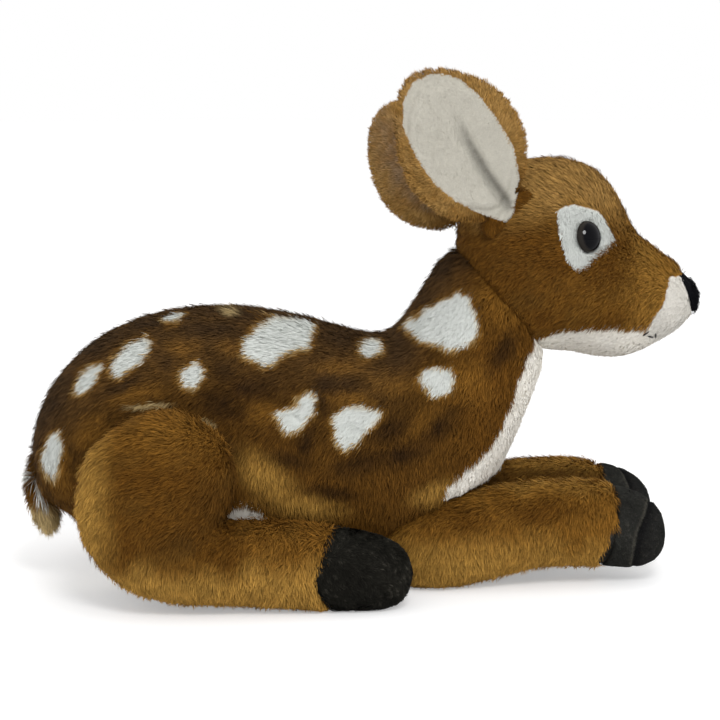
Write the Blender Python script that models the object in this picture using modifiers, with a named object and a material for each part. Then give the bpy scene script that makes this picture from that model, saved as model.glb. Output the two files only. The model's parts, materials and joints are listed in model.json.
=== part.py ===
"""A stuffed fawn that lies with its legs folded forward: sewn covers over separate stuffings.

The covers are cut from panels with open seams between them. Head, ears, legs and tail each hang
on an empty that stands on the line of the seam about which they flex. The fawn looks along +X,
the floor is at Z = 0, and every piece is laid out from the rearmost point of the rump at X = 0.
"""

import math

import bmesh
import bpy
from mathutils import Matrix, Vector
from mathutils.bvhtree import BVHTree

# Driving sizes, in metres
body_length = 0.228
back_height = 0.122
body_width = 0.098
head_length = 0.106
head_height = 0.082
head_width = 0.062
hind_leg_length = 0.142
hind_leg_height = 0.088
hind_leg_thickness = 0.036
hip_seat_depth = 0.0025
hip_seat_radius = 0.044
foreleg_length = 0.125
foreleg_height = 0.047
foreleg_thickness = 0.039
foreleg_spacing = 0.050
foreleg_extra_length = {"right": 0.0, "left": 0.006}
ear_length = 0.076
ear_width = 0.052
ear_cup_depth = 0.0075
ear_layer = 0.0021
ear_layer_gap = 0.0008
ear_root_radius = 0.0032
ear_root_length = 0.024
tail_length = 0.034
tail_width = 0.020
tail_thickness = 0.013
tail_root_radius = 0.0055
cover_thickness = 0.0024
seam_gap = 0.0003
stuffing_gap = 0.0005
belly_panel_width = 0.040
chest_panel_width_share = 0.633
eye_diameter = 0.015
eye_dome_height = 0.0062
eye_stem_radius = 0.0021
eye_stem_length = 0.0085
eye_washer_radius = 0.0065
eye_washer_thickness = 0.0014
eye_washer_depth = 0.0046
eye_rim_thickness = 0.0006
eye_sink = 0.0006
nose_thickness = 0.0012
hoof_cleft_width = 0.0018
hoof_cleft_depth = 0.0012
bay_clearance = 0.0009

bay_roundness = 0.5

# How far each foreleg may rise, in degrees
foreleg_raise = 4.0

# Each station of a form is (top x, top z, bottom x, bottom z, half width, place of the widest line)
body_shares = (
    (0.011, 0.540, 0.034, 0.300, 0.210, 0.50),
    (0.041, 0.703, 0.092, 0.265, 0.340, 0.50),
    (0.112, 0.866, 0.160, 0.080, 0.430, 0.50),
    (0.218, 0.970, 0.248, -0.003, 0.490, 0.50),
    (0.353, 1.012, 0.370, -0.003, 0.480, 0.52),
    (0.480, 0.992, 0.500, -0.002, 0.462, 0.54),
    (0.590, 0.932, 0.640, -0.002, 0.452, 0.54),
    (0.668, 0.886, 0.768, 0.030, 0.438, 0.54),
    (0.708, 0.892, 0.872, 0.215, 0.400, 0.52),
    (0.738, 0.958, 0.937, 0.440, 0.352, 0.50),
    (0.776, 1.068, 0.981, 0.640, 0.312, 0.50),
    (0.822, 1.204, 1.018, 0.840, 0.290, 0.50),
    (0.880, 1.368, 1.048, 1.003, 0.280, 0.50),
)
body_rump_share = (0.012, 0.405)
body_neck_share = (0.990, 1.260)
neck_seam_shares = ((0.837, 1.221), (1.010, 0.856))
head_shares = (
    (-0.190, 0.280, 0.190, -0.290, 0.455, 0.50),
    (-0.155, 0.450, 0.232, -0.290, 0.480, 0.50),
    (-0.076, 0.610, 0.275, -0.312, 0.500, 0.50),
    (0.044, 0.704, 0.330, -0.334, 0.505, 0.50),
    (0.184, 0.738, 0.395, -0.352, 0.490, 0.52),
    (0.335, 0.722, 0.465, -0.350, 0.420, 0.60),
    (0.460, 0.620, 0.528, -0.344, 0.330, 0.62),
    (0.534, 0.350, 0.596, -0.326, 0.266, 0.58),
    (0.634, 0.245, 0.660, -0.284, 0.236, 0.54),
    (0.735, 0.160, 0.744, -0.232, 0.214, 0.52),
    (0.800, 0.068, 0.806, -0.150, 0.170, 0.50),
)
head_nape_share = (0.000, 0.010)
head_tip_share = (0.846, -0.055)
hind_leg_shares = (
    (-0.085, 0.940, 0.072, 0.950, 0.360, 0.50),
    (-0.188, 0.845, 0.176, 0.855, 0.470, 0.50),
    (-0.246, 0.620, 0.224, 0.640, 0.500, 0.50),
    (-0.228, 0.360, 0.172, 0.482, 0.490, 0.50),
    (-0.160, 0.135, 0.150, 0.434, 0.470, 0.50),
    (0.015, 0.050, 0.190, 0.430, 0.450, 0.50),
    (0.220, 0.045, 0.268, 0.438, 0.440, 0.50),
    (0.400, 0.016, 0.424, 0.414, 0.440, 0.50),
    (0.560, -0.020, 0.578, 0.378, 0.460, 0.50),
    (0.692, 0.000, 0.696, 0.312, 0.410, 0.50),
)
hind_leg_top_share = (0.000, 0.985)
hind_leg_toe_share = (0.752, 0.166)
hind_hoof_edge_shares = (
    (0.553, 0.420),
    (0.485, 0.370),
    (0.444, 0.275),
    (0.432, 0.178),
    (0.447, 0.095),
    (0.485, 0.035),
)
foreleg_shares = (
    (-0.105, 0.650, -0.105, 0.170, 0.320, 0.50),
    (-0.030, 0.800, -0.030, -0.010, 0.450, 0.50),
    (0.085, 0.830, 0.094, -0.030, 0.500, 0.50),
    (0.235, 0.880, 0.240, 0.060, 0.490, 0.50),
    (0.420, 0.960, 0.425, 0.195, 0.460, 0.50),
    (0.600, 0.970, 0.605, 0.185, 0.440, 0.50),
    (0.750, 0.890, 0.760, 0.110, 0.460, 0.50),
    (0.854, 0.780, 0.858, 0.170, 0.420, 0.50),
)
foreleg_root_share = (-0.152, 0.405)
bay_root_station_shares = (-0.158, 0.560, -0.158, 0.250, 0.220, 0.50)
bay_root_share = (-0.164, 0.405)
foreleg_toe_share = (0.912, 0.450)
fore_hoof_edge_shares = ((0.711, 0.872), (0.665, 0.116))
tail_shares = (
    (-0.300, 0.100, 0.200, 0.020, 0.260, 0.50),
    (-0.520, -0.160, 0.220, -0.200, 0.420, 0.50),
    (-0.580, -0.420, 0.260, -0.440, 0.500, 0.50),
    (-0.460, -0.680, 0.360, -0.690, 0.460, 0.50),
    (-0.220, -0.860, 0.260, -0.865, 0.300, 0.50),
)
tail_root_share = (-0.050, 0.170)
tail_tip_share = (0.040, -0.940)

# Places of the seams about which the limbs flex, as shares of the piece that carries them
hip_share = (0.258, 0.698)
shoulder_share = (0.742, 0.405)
tail_seat_share = (0.032, 0.460)
ear_seat_shares = {"right": (-0.014, 0.452), "left": (-0.060, 0.400)}
ear_spread_share = 0.350
ear_sink_share = -0.100
hind_leg_reach_share = 0.370
cleft_start_share = 0.060
tail_root_width_share = 0.800

# Panels that are cut out of the covers, as side views
chest_panel_shares = (
    (0.985, 0.960),
    (0.958, 0.840),
    (0.934, 0.728),
    (0.914, 0.627),
    (0.895, 0.536),
    (0.854, 0.457),
    (0.821, 0.396),
    (0.787, 0.328),
    (0.722, 0.240),
    (0.722, -0.080),
    (1.130, -0.080),
    (1.130, 0.900),
)
belly_panel_shares = (
    (-0.020, -0.080),
    (0.718, -0.080),
    (0.718, 0.240),
    (0.380, 0.240),
    (-0.020, 0.240),
)
muzzle_shares = (
    (0.700, 0.086),
    (0.900, 0.086),
    (0.900, -0.330),
    (0.700, -0.330),
    (0.641, -0.252),
    (0.590, -0.207),
    (0.627, -0.126),
    (0.669, -0.050),
)
chin_shares = (
    (0.060, -0.205),
    (0.211, -0.191),
    (0.304, -0.171),
    (0.402, -0.162),
    (0.517, -0.181),
    (0.586, -0.204),
    (0.638, -0.249),
    (0.698, -0.330),
    (0.576, -0.420),
    (0.100, -0.420),
)
eye_patch_shares = (
    (0.190, 0.472),
    (0.265, 0.500),
    (0.369, 0.459),
    (0.410, 0.389),
    (0.447, 0.293),
    (0.372, 0.240),
    (0.314, 0.182),
    (0.268, 0.160),
    (0.226, 0.216),
    (0.200, 0.323),
)
nose_shares = (
    (0.740, 0.115),
    (0.900, 0.115),
    (0.900, -0.138),
    (0.805, -0.138),
    (0.777, -0.028),
)
eye_share = (0.317, 0.332)
eye_forward_turn = 40.0
eye_upward_turn = 6.0

# How each ear stands: leaning back, leaning out and turned forward, in degrees
ear_poses = {
    "right": (37.0, 14.0, 12.0),
    "left": (42.0, 37.0, 8.0),
}
ear_lining_share = 0.86
ear_lining_foot_share = 0.45
ear_foot_share = 0.30
ear_point_share = 0.40
ear_bow_share = 0.35
slope_step_share = 0.01
ear_lining_shift_share = -0.050
sides = {"right": -1, "left": 1}

plush_brown = (0.143, 0.082, 0.028)
plush_tan = (0.205, 0.123, 0.043)
plush_white = (0.560, 0.545, 0.500)
velour_black = (0.012, 0.012, 0.011)
eye_black = (0.004, 0.004, 0.004)
fibre_white = (0.720, 0.720, 0.700)
washer_white = (0.600, 0.600, 0.580)

for old in list(bpy.data.objects):
    bpy.data.objects.remove(old)
parts = bpy.data.collections.new("plush_fawn")
cutters = bpy.data.collections.new("cutters")
bpy.context.scene.collection.children.link(parts)
bpy.context.scene.collection.children.link(cutters)


def material(name, colour, roughness):
    made = bpy.data.materials.new(name)
    made.use_nodes = True
    shader = made.node_tree.nodes["Principled BSDF"]
    shader.inputs["Base Color"].default_value = (*colour, 1.0)
    shader.inputs["Roughness"].default_value = roughness
    shader.inputs["Metallic"].default_value = 0.0
    return made


brown_pile = material("brown_pile", plush_brown, 0.95)
tan_pile = material("tan_pile", plush_tan, 0.95)
white_pile = material("white_pile", plush_white, 0.95)
black_velour = material("black_velour", velour_black, 0.9)
eye_plastic = material("eye_plastic", eye_black, 0.08)
stuffing_fibre = material("stuffing_fibre", fibre_white, 1.0)
washer_plastic = material("washer_plastic", washer_white, 0.4)


def add_cutter(name, mesh):
    """Put a mesh in the cutters' collection as a hidden guide."""
    made = bpy.data.objects.new(name, mesh)
    made.hide_render = True
    made.display_type = "WIRE"
    cutters.objects.link(made)
    return made


def as_evaluated(source):
    """The mesh that an object's modifiers give, as data of its own, in world space."""
    bpy.context.view_layer.update()
    graph = bpy.context.evaluated_depsgraph_get()
    mesh = bpy.data.meshes.new_from_object(source.evaluated_get(graph))
    mesh.transform(source.matrix_world)
    return mesh


def applied(source):
    """Turn an object with modifiers, or a curve, into a plain welded mesh in the cutters."""
    mesh = as_evaluated(source)
    name = source.name
    bpy.data.objects.remove(source)
    welded = bmesh.new()
    welded.from_mesh(mesh)
    bmesh.ops.remove_doubles(welded, verts=welded.verts, dist=seam_gap / 100)
    bmesh.ops.recalc_face_normals(welded, faces=welded.faces)
    welded.to_mesh(mesh)
    welded.free()
    return add_cutter(name, mesh)


def combine(target, cutter, operation):
    """Run one Boolean on a closed mesh object and keep its result.

    The EXACT solver loses half of a form where a seam runs close beside a row of its vertices,
    so the closed forms here are cut with MANIFOLD."""
    step = target.modifiers.new(operation.lower(), "BOOLEAN")
    step.operation = operation
    step.solver = "MANIFOLD"
    step.object = cutter
    mesh = as_evaluated(target)
    target.modifiers.clear()
    target.data = mesh
    return target


def copied(source, name):
    return add_cutter(name, source.data.copy())


def cut(target, *tools):
    for tool in tools:
        combine(target, tool, "DIFFERENCE")
    return target


def joined(target, *others):
    for other in others:
        combine(target, other, "UNION")
    return target


def kept_within(source, region, name):
    """The part of a solid that lies in a region, as a new solid."""
    return combine(copied(source, name), region, "INTERSECT")


def grown(form, distance, name):
    """A copy of a form with its surface moved out by a distance, or in where it is negative."""
    mesh = form.data.copy()
    shape = bmesh.new()
    shape.from_mesh(mesh)
    shape.normal_update()
    for vertex in shape.verts:
        vertex.co += vertex.normal * distance
    shape.to_mesh(mesh)
    shape.free()
    return add_cutter(name, mesh)


def power(value, exponent):
    """A power that keeps the sign of its base."""
    return math.copysign(abs(value) ** exponent, value)


def ring_places(top, bottom, half_width, widest_share, middle_y, count, roundness=1.0):
    """Cage points of one ring, whose subdivided oval passes through its top and bottom.

    A roundness of 1 gives an oval, and less gives a boxier section."""
    limit_share = (2 + math.cos(math.tau / count)) / 3
    middle = (top + bottom) / 2
    rise = (top - bottom) / 2 / limit_share
    reach = half_width / limit_share
    places = []
    for index in range(count):
        angle = math.tau * index / count
        lift = power(math.cos(angle), roundness) + (1 - 2 * widest_share) * math.sin(angle) ** 2
        across = Vector((0, middle_y + reach * power(math.sin(angle), roundness), 0))
        places.append(middle + rise * lift + across)
    return places


def next_ring(shape, ring, places):
    """Extrude a ring of vertices and move the new one to its places."""
    edges = [shape.edges.get(pair) for pair in zip(ring, ring[1:] + ring[:1])]
    made = bmesh.ops.extrude_edge_only(shape, edges=edges)["geom"]
    new = {part for part in made if isinstance(part, bmesh.types.BMVert)}
    following = []
    for vertex, place in zip(ring, places):
        twin = next(e.other_vert(vertex) for e in vertex.link_edges if e.other_vert(vertex) in new)
        twin.co = place
        following.append(twin)
    return following


def close_ring(shape, ring, pole):
    """Close a ring of vertices with a fan of faces about its pole."""
    face = bmesh.ops.contextual_create(shape, geom=ring)["faces"]
    fan = bmesh.ops.poke(shape, faces=face)
    fan["verts"][0].co = pole


def stuffed_form(name, rings, start_pole, end_pole):
    """A swelling, tapering form over a row of rings, smoothed by Subdivision Surface."""
    shape = bmesh.new()
    count = len(rings[0])
    bmesh.ops.create_circle(shape, cap_ends=False, segments=count, radius=body_width)
    first = list(shape.verts)
    for vertex, place in zip(first, rings[0]):
        vertex.co = place
    last = first
    for places in rings[1:]:
        last = next_ring(shape, last, places)
    close_ring(shape, first, start_pole)
    close_ring(shape, last, end_pole)
    bmesh.ops.recalc_face_normals(shape, faces=shape.faces)
    mesh = bpy.data.meshes.new(name)
    shape.to_mesh(mesh)
    shape.free()
    cage = add_cutter(name, mesh)
    smooth = cage.modifiers.new("smooth", "SUBSURF")
    smooth.levels = 1
    smooth.render_levels = 1
    return applied(cage)


def side_place(origin, share, length, height):
    """The place in the middle plane at a share of a length and a height from an origin."""
    return origin + Vector((share[0] * length, 0, share[1] * height))


class Shaped:
    """A row of stations set out from an origin by its own length, height and width."""

    def __init__(self, stations, poles, origin, length, height, width, middle_y):
        self.stations = stations
        self.poles = poles
        self.origin = origin
        self.length = length
        self.height = height
        self.width = width
        self.middle_y = middle_y

    def place(self, share):
        return side_place(self.origin, share, self.length, self.height)

    def outline(self, shares):
        return [self.place(share) for share in shares]

    def form(self, name, count, step=1, roundness=1.0, raised=None):
        """The form with a number of points around, from each station or each step of them.

        raised, where it is given, moves the tops of the rings."""
        rows = self.stations[::step]
        if rows[-1] is not self.stations[-1]:
            rows = rows + (self.stations[-1],)
        rings = []
        for top_x, top_z, bottom_x, bottom_z, half_share, widest_share in rows:
            top = self.place((top_x, top_z))
            bottom = self.place((bottom_x, bottom_z))
            if raised:
                top = raised(top)
            half = half_share * self.width
            rings.append(ring_places(top, bottom, half, widest_share, self.middle_y, count, roundness))
        aside = Vector((0, self.middle_y, 0))
        return stuffed_form(name, rings, self.place(self.poles[0]) + aside, self.place(self.poles[1]) + aside)


def prism(name, outline, half_thickness, middle_y=0.0):
    """A side view filled and given a thickness along Y."""
    curve = bpy.data.curves.new(name, "CURVE")
    curve.dimensions = "2D"
    curve.fill_mode = "BOTH"
    curve.extrude = half_thickness
    line = curve.splines.new("POLY")
    line.points.add(len(outline) - 1)
    for point, place in zip(line.points, outline):
        point.co = (place.x, place.z, 0, 1)
    line.use_cyclic_u = True
    flat = bpy.data.objects.new(name, curve)
    cutters.objects.link(flat)
    flat.rotation_euler = (math.radians(90), 0, 0)
    flat.location = (0, middle_y, 0)
    return applied(flat)


def widened(outline, distance):
    """A side view with its edges moved out by a distance."""
    places = [(place.x, place.z) for place in outline]
    pairs = list(zip(places, places[1:] + places[:1]))
    doubled = sum(a[0] * b[1] - b[0] * a[1] for a, b in pairs)
    way = math.copysign(distance, doubled)
    moved = []
    for before, here, after in zip(places[-1:] + places[:-1], places, places[1:] + places[:1]):
        coming = (Vector(here) - Vector(before)).normalized()
        going = (Vector(after) - Vector(here)).normalized()
        bisector = (coming + going).normalized()
        reach = way / max(bisector.dot(going), 0.5)
        moved.append(Vector((here[0] + bisector.y * reach, 0, here[1] - bisector.x * reach)))
    return moved


def box(name, low, high):
    """A box between two corners."""
    shape = bmesh.new()
    bmesh.ops.create_cube(shape, size=1)
    low = Vector(low)
    high = Vector(high)
    bmesh.ops.scale(shape, vec=high - low, verts=shape.verts)
    bmesh.ops.translate(shape, vec=(low + high) / 2, verts=shape.verts)
    mesh = bpy.data.meshes.new(name)
    shape.to_mesh(mesh)
    shape.free()
    return add_cutter(name, mesh)


def rod(name, centre, axis, radius, length, segments=16):
    """A round bar about a centre along an axis."""
    shape = bmesh.new()
    bmesh.ops.create_cone(shape, cap_ends=True, segments=segments, radius1=radius, radius2=radius, depth=length)
    mesh = bpy.data.meshes.new(name)
    shape.to_mesh(mesh)
    shape.free()
    mesh.transform(Matrix.Translation(centre) @ axis.to_track_quat("Z", "Y").to_matrix().to_4x4())
    return add_cutter(name, mesh)


def half_space(name, first, second, ahead):
    """All that lies ahead of, or behind, the plane that holds Y and the line between two places."""
    line = (second - first).normalized()
    way = Vector((-line.z, 0, line.x))
    if way.x < 0:
        way = -way
    if not ahead:
        way = -way
    reach = body_length
    corners = [first - line * reach, first - line * reach + way * reach]
    corners += [second + line * reach + way * reach, second + line * reach]
    return prism(name, corners, reach)


def ahead_of(line):
    """The side view of all that lies ahead of a line that runs down across a leg."""
    reach = body_length * 2
    top = line[0] + Vector((0, 0, reach))
    low = line[-1] - Vector((0, 0, reach))
    return [top, *line, low, Vector((reach, 0, low.z)), Vector((reach, 0, top.z))]


def turned(name, profile, segments, centre, axis):
    """A turned shape: a profile of (radius, height) pairs spun about an axis."""
    shape = bmesh.new()
    row = [shape.verts.new((radius, 0, height)) for radius, height in profile]
    for pair in zip(row, row[1:]):
        shape.edges.new(pair)
    mesh = bpy.data.meshes.new(name)
    shape.to_mesh(mesh)
    shape.free()
    made = add_cutter(name, mesh)
    spin = made.modifiers.new("spin", "SCREW")
    spin.steps = segments
    spin.render_steps = segments
    spin.use_merge_vertices = True
    spin.merge_threshold = seam_gap / 100
    made = applied(made)
    made.data.transform(Matrix.Translation(centre) @ axis.to_track_quat("Z", "Y").to_matrix().to_4x4())
    return made


def joint_empty(name, place, parent):
    """An empty on a flexing seam, which carries the pieces that move about it."""
    made = bpy.data.objects.new(name, None)
    made.empty_display_size = seam_gap * 30
    parts.objects.link(made)
    made.parent = parent
    bpy.context.view_layer.update()
    made.matrix_world = Matrix.Translation(place)
    bpy.context.view_layer.update()
    return made


def finish(solid, name, skin, carrier):
    """Name a finished solid, give it its material and hang it on its carrier."""
    bpy.context.view_layer.update()
    solid.data.transform(carrier.matrix_world.inverted())
    solid.name = name
    solid.data.name = name
    solid.data.materials.clear()
    solid.data.materials.append(skin)
    solid.data.shade_smooth()
    solid.data.set_sharp_from_angle(angle=math.radians(40))
    cutters.objects.unlink(solid)
    parts.objects.link(solid)
    solid.hide_render = False
    solid.display_type = "TEXTURED"
    solid.parent = carrier
    return solid


def bag(name, outer, core, tools_at):
    """A cover's outside, the hollow in it and the stuffing that fills the hollow.

    tools_at gives the cutters that stand a margin off the neighbours, with the open ends or without."""
    outside = cut(copied(outer, name + "_outside"), *tools_at(0, True))
    hollow = grown(core, -cover_thickness, name + "_hollow")
    cut(hollow, *tools_at(cover_thickness, False))
    stuffing = grown(core, -cover_thickness - stuffing_gap, name + "_stuffing")
    cut(stuffing, *tools_at(cover_thickness + stuffing_gap, True))
    return outside, hollow, stuffing


root = bpy.data.objects.new("fawn_root", None)
parts.objects.link(root)
bpy.context.view_layer.update()

origin = Vector((0, 0, 0))
body = Shaped(body_shares, (body_rump_share, body_neck_share), origin, body_length, back_height, body_width, 0.0)
seam_top = body.place(neck_seam_shares[0])
seam_bottom = body.place(neck_seam_shares[1])
neck_centre = (seam_top + seam_bottom) / 2
neck_line = (seam_bottom - seam_top).normalized()
neck_axis = Vector((-neck_line.z, 0, neck_line.x))
head = Shaped(
    head_shares, (head_nape_share, head_tip_share), neck_centre, head_length, head_height, head_width, 0.0
)
hip = Vector((hip_share[0] * body_length, 0, hip_share[1] * hind_leg_height))
hip_plane = body_width / 2 - hip_seat_depth
shoulder = Vector((shoulder_share[0] * body_length, 0, shoulder_share[1] * foreleg_height))
tail_seat = body.place(tail_seat_share)


def foreleg_shape(middle_y, extra_length):
    start = Vector((shoulder.x, 0, 0))
    poles = (foreleg_root_share, foreleg_toe_share)
    length = foreleg_length + extra_length
    return Shaped(foreleg_shares, poles, start, length, foreleg_height, foreleg_thickness, middle_y)


def hind_leg_shape(middle_y):
    start = Vector((hip.x, 0, 0))
    poles = (hind_leg_top_share, hind_leg_toe_share)
    return Shaped(hind_leg_shares, poles, start, hind_leg_length, hind_leg_height, hind_leg_thickness, middle_y)


def floor_tool(margin):
    """What lies under the flat that a form stands on."""
    reach = body_length * 2
    return box("floor", (-reach, -reach, -reach), (reach, reach, margin))


def neck_tool(margin, ahead):
    """One side of the neck seam, a margin off its plane."""
    way = neck_axis * (-margin if ahead else margin)
    return half_space("neck", seam_top + way, seam_bottom + way, ahead)


def raised_place(place):
    """Where a place ahead of the shoulder comes as the foreleg is raised."""
    if place.x < shoulder.x:
        return place
    turn = Matrix.Rotation(math.radians(-foreleg_raise), 3, "Y")
    return shoulder + turn @ (place - shoulder)


def foreleg_bay(margin):
    """The space that both forelegs take in the body, at rest and raised."""
    row = foreleg_shape(0.0, 0.0)
    wide = foreleg_spacing + foreleg_thickness
    stations = []
    for station in (bay_root_station_shares,) + row.stations:
        half_share = (foreleg_spacing / 2 + station[4] * foreleg_thickness) / wide
        stations.append(station[:4] + (half_share, station[5]))
    poles = (bay_root_share, row.poles[1])
    wide_row = Shaped(tuple(stations), poles, row.origin, row.length, row.height, wide, 0.0)
    form = wide_row.form("bay", 12, 1, bay_roundness, raised_place)
    return grown(form, bay_clearance + margin, "foreleg_bay")


def hip_seats(margin):
    """The shallow round seats of the hind legs in the body's sides."""
    seats = []
    for side in sides.values():
        depth = body_width
        middle = Vector((hip.x, side * (hip_plane - seam_gap - margin + depth / 2), hip.z))
        seats.append(rod("hip_seat", middle, Vector((0, 1, 0)), hip_seat_radius + margin, depth, 48))
    return seats


def tail_groove(margin):
    """The round groove of the tail's root across the rump."""
    length = tail_width + 2 * (seam_gap + margin)
    return rod("tail_groove", tail_seat, Vector((0, 1, 0)), tail_root_radius + seam_gap + margin, length)


def body_tools(margin, with_neck):
    tools = [floor_tool(margin), foreleg_bay(margin), *hip_seats(margin), tail_groove(margin)]
    if with_neck:
        tools.append(neck_tool(seam_gap / 2, True))
    return tools


def side_region(side):
    """All that lies on one side of the middle seam."""
    reach = body_length * 2
    near = side * seam_gap / 2
    far = side * reach
    return box("side", (-reach, min(near, far), -reach), (reach, max(near, far), reach))


def make_body():
    """The body's panels over its stuffing."""
    outer = body.form("body_form", 10)
    core = body.form("body_core", 6)
    outside, hollow, stuffing = bag("body", outer, core, body_tools)
    chest_outline = body.outline(chest_panel_shares)
    belly_outline = body.outline(belly_panel_shares)
    chest_half = chest_panel_width_share * body_width / 2
    belly_half = belly_panel_width / 2
    chest = cut(kept_within(outside, prism("chest", chest_outline, chest_half), "chest"), hollow)
    belly = cut(kept_within(outside, prism("belly", belly_outline, belly_half), "belly"), hollow)
    rooms = [prism("chest_room", widened(chest_outline, seam_gap), chest_half + seam_gap)]
    rooms.append(prism("belly_room", widened(belly_outline, seam_gap), belly_half + seam_gap))
    for name, side in sides.items():
        half = cut(kept_within(outside, side_region(side), "body_panel"), *rooms, hollow)
        finish(half, "body_panel_" + name, brown_pile, root)
    finish(chest, "chest_panel", white_pile, root)
    finish(belly, "belly_panel", white_pile, root)
    finish(stuffing, "body_stuffing", stuffing_fibre, root)


def make_head():
    """The head's panels over its stuffing, with the eyes, the nose and the ears."""
    seam = joint_empty("head_seam", neck_centre, root)
    outer = head.form("head_form", 10)
    core = head.form("head_core", 8, 2)
    surface = BVHTree.FromPolygons([v.co for v in outer.data.vertices], [p.vertices for p in outer.data.polygons])
    ears = {name: Ear(name, surface) for name in sides}
    eyes = {name: Eye(name, surface) for name in sides}

    def head_tools(margin, with_neck):
        tools = [ear.groove(margin) for ear in ears.values()]
        if with_neck:
            tools.append(neck_tool(seam_gap / 2, False))
            tools += [eye.seat(margin) for eye in eyes.values()]
        return tools

    outside, hollow, stuffing = bag("head", outer, core, head_tools)
    muzzle_outline = head.outline(muzzle_shares)
    chin_outline = head.outline(chin_shares)
    patch_outline = head.outline(eye_patch_shares)
    wide = head_width
    muzzle_room = prism("muzzle_room", widened(muzzle_outline, seam_gap), wide)
    chin_room = prism("chin_room", widened(chin_outline, seam_gap), wide)
    muzzle = cut(kept_within(outside, prism("muzzle", muzzle_outline, wide), "muzzle"), hollow)
    chin = cut(kept_within(outside, prism("chin", chin_outline, wide), "chin"), muzzle_room, hollow)
    for name, side in sides.items():
        middle = side * wide / 2
        reach = wide / 2 - seam_gap
        patch = kept_within(outside, prism("patch", patch_outline, reach, middle), "eye_patch")
        finish(cut(patch, hollow), "eye_patch_" + name, white_pile, seam)
        patch_room = prism("patch_room", widened(patch_outline, seam_gap), reach, middle)
        half = kept_within(outside, side_region(side), "head_panel")
        cut(half, muzzle_room, chin_room, patch_room, hollow)
        finish(half, "head_panel_" + name, brown_pile, seam)
        eyes[name].make(seam)
        ears[name].make(seam)
    skin = grown(outer, seam_gap, "nose_bed")
    nose = cut(grown(outer, seam_gap + nose_thickness, "nose"), skin)
    combine(nose, prism("nose_region", head.outline(nose_shares), wide), "INTERSECT")
    finish(nose, "nose", black_velour, seam)
    finish(muzzle, "muzzle_panel", white_pile, seam)
    finish(chin, "chin_panel", white_pile, seam)
    finish(stuffing, "head_stuffing", stuffing_fibre, seam)


class Eye:
    """A domed eye whose stem is held by a washer inside the head."""

    def __init__(self, name, surface):
        self.name = name
        side = sides[name]
        place = head.place(eye_share)
        outside = Vector((place.x, side * body_width, place.z))
        self.place = surface.ray_cast(outside, Vector((0, -side, 0)))[0]
        turn = math.radians(90 - eye_forward_turn)
        rise = math.radians(eye_upward_turn)
        level = Vector((math.cos(turn), side * math.sin(turn), 0)) * math.cos(rise)
        self.axis = level + Vector((0, 0, math.sin(rise)))
        self.place = self.place - self.axis * eye_sink

    def profile(self, margin):
        radius = eye_diameter / 2 + margin
        height = eye_dome_height + margin
        arc = [math.radians(90 * index / 5) for index in range(6)]
        dome = [(radius * math.sin(angle), height * math.cos(angle)) for angle in arc]
        stem = eye_stem_radius + margin
        under = -eye_rim_thickness - margin
        end = -eye_stem_length - margin
        return dome + [(radius, under), (stem, under), (stem, end), (0, end)]

    def seat(self, margin):
        """The hole that the eye and its washer take."""
        hole = turned("eye_hole", self.profile(seam_gap + margin), 16, self.place, self.axis)
        depth = eye_stem_length - eye_washer_depth + 2 * seam_gap
        middle = self.place - self.axis * (eye_washer_depth - seam_gap + depth / 2)
        pocket = rod("pocket", middle, self.axis, eye_washer_radius + seam_gap, depth)
        return joined(hole, pocket)

    def make(self, carrier):
        eye = turned("eye", self.profile(0), 16, self.place, self.axis)
        finish(eye, "eye_" + self.name, eye_plastic, carrier)
        bore = eye_stem_radius + seam_gap
        top = -eye_washer_depth
        low = top - eye_washer_thickness
        ring = [(eye_washer_radius, top), (eye_washer_radius, low), (bore, low), (bore, top)]
        washer = turned("washer", ring + ring[:1], 16, self.place, self.axis)
        finish(washer, "eye_washer_" + self.name, washer_plastic, carrier)


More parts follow.
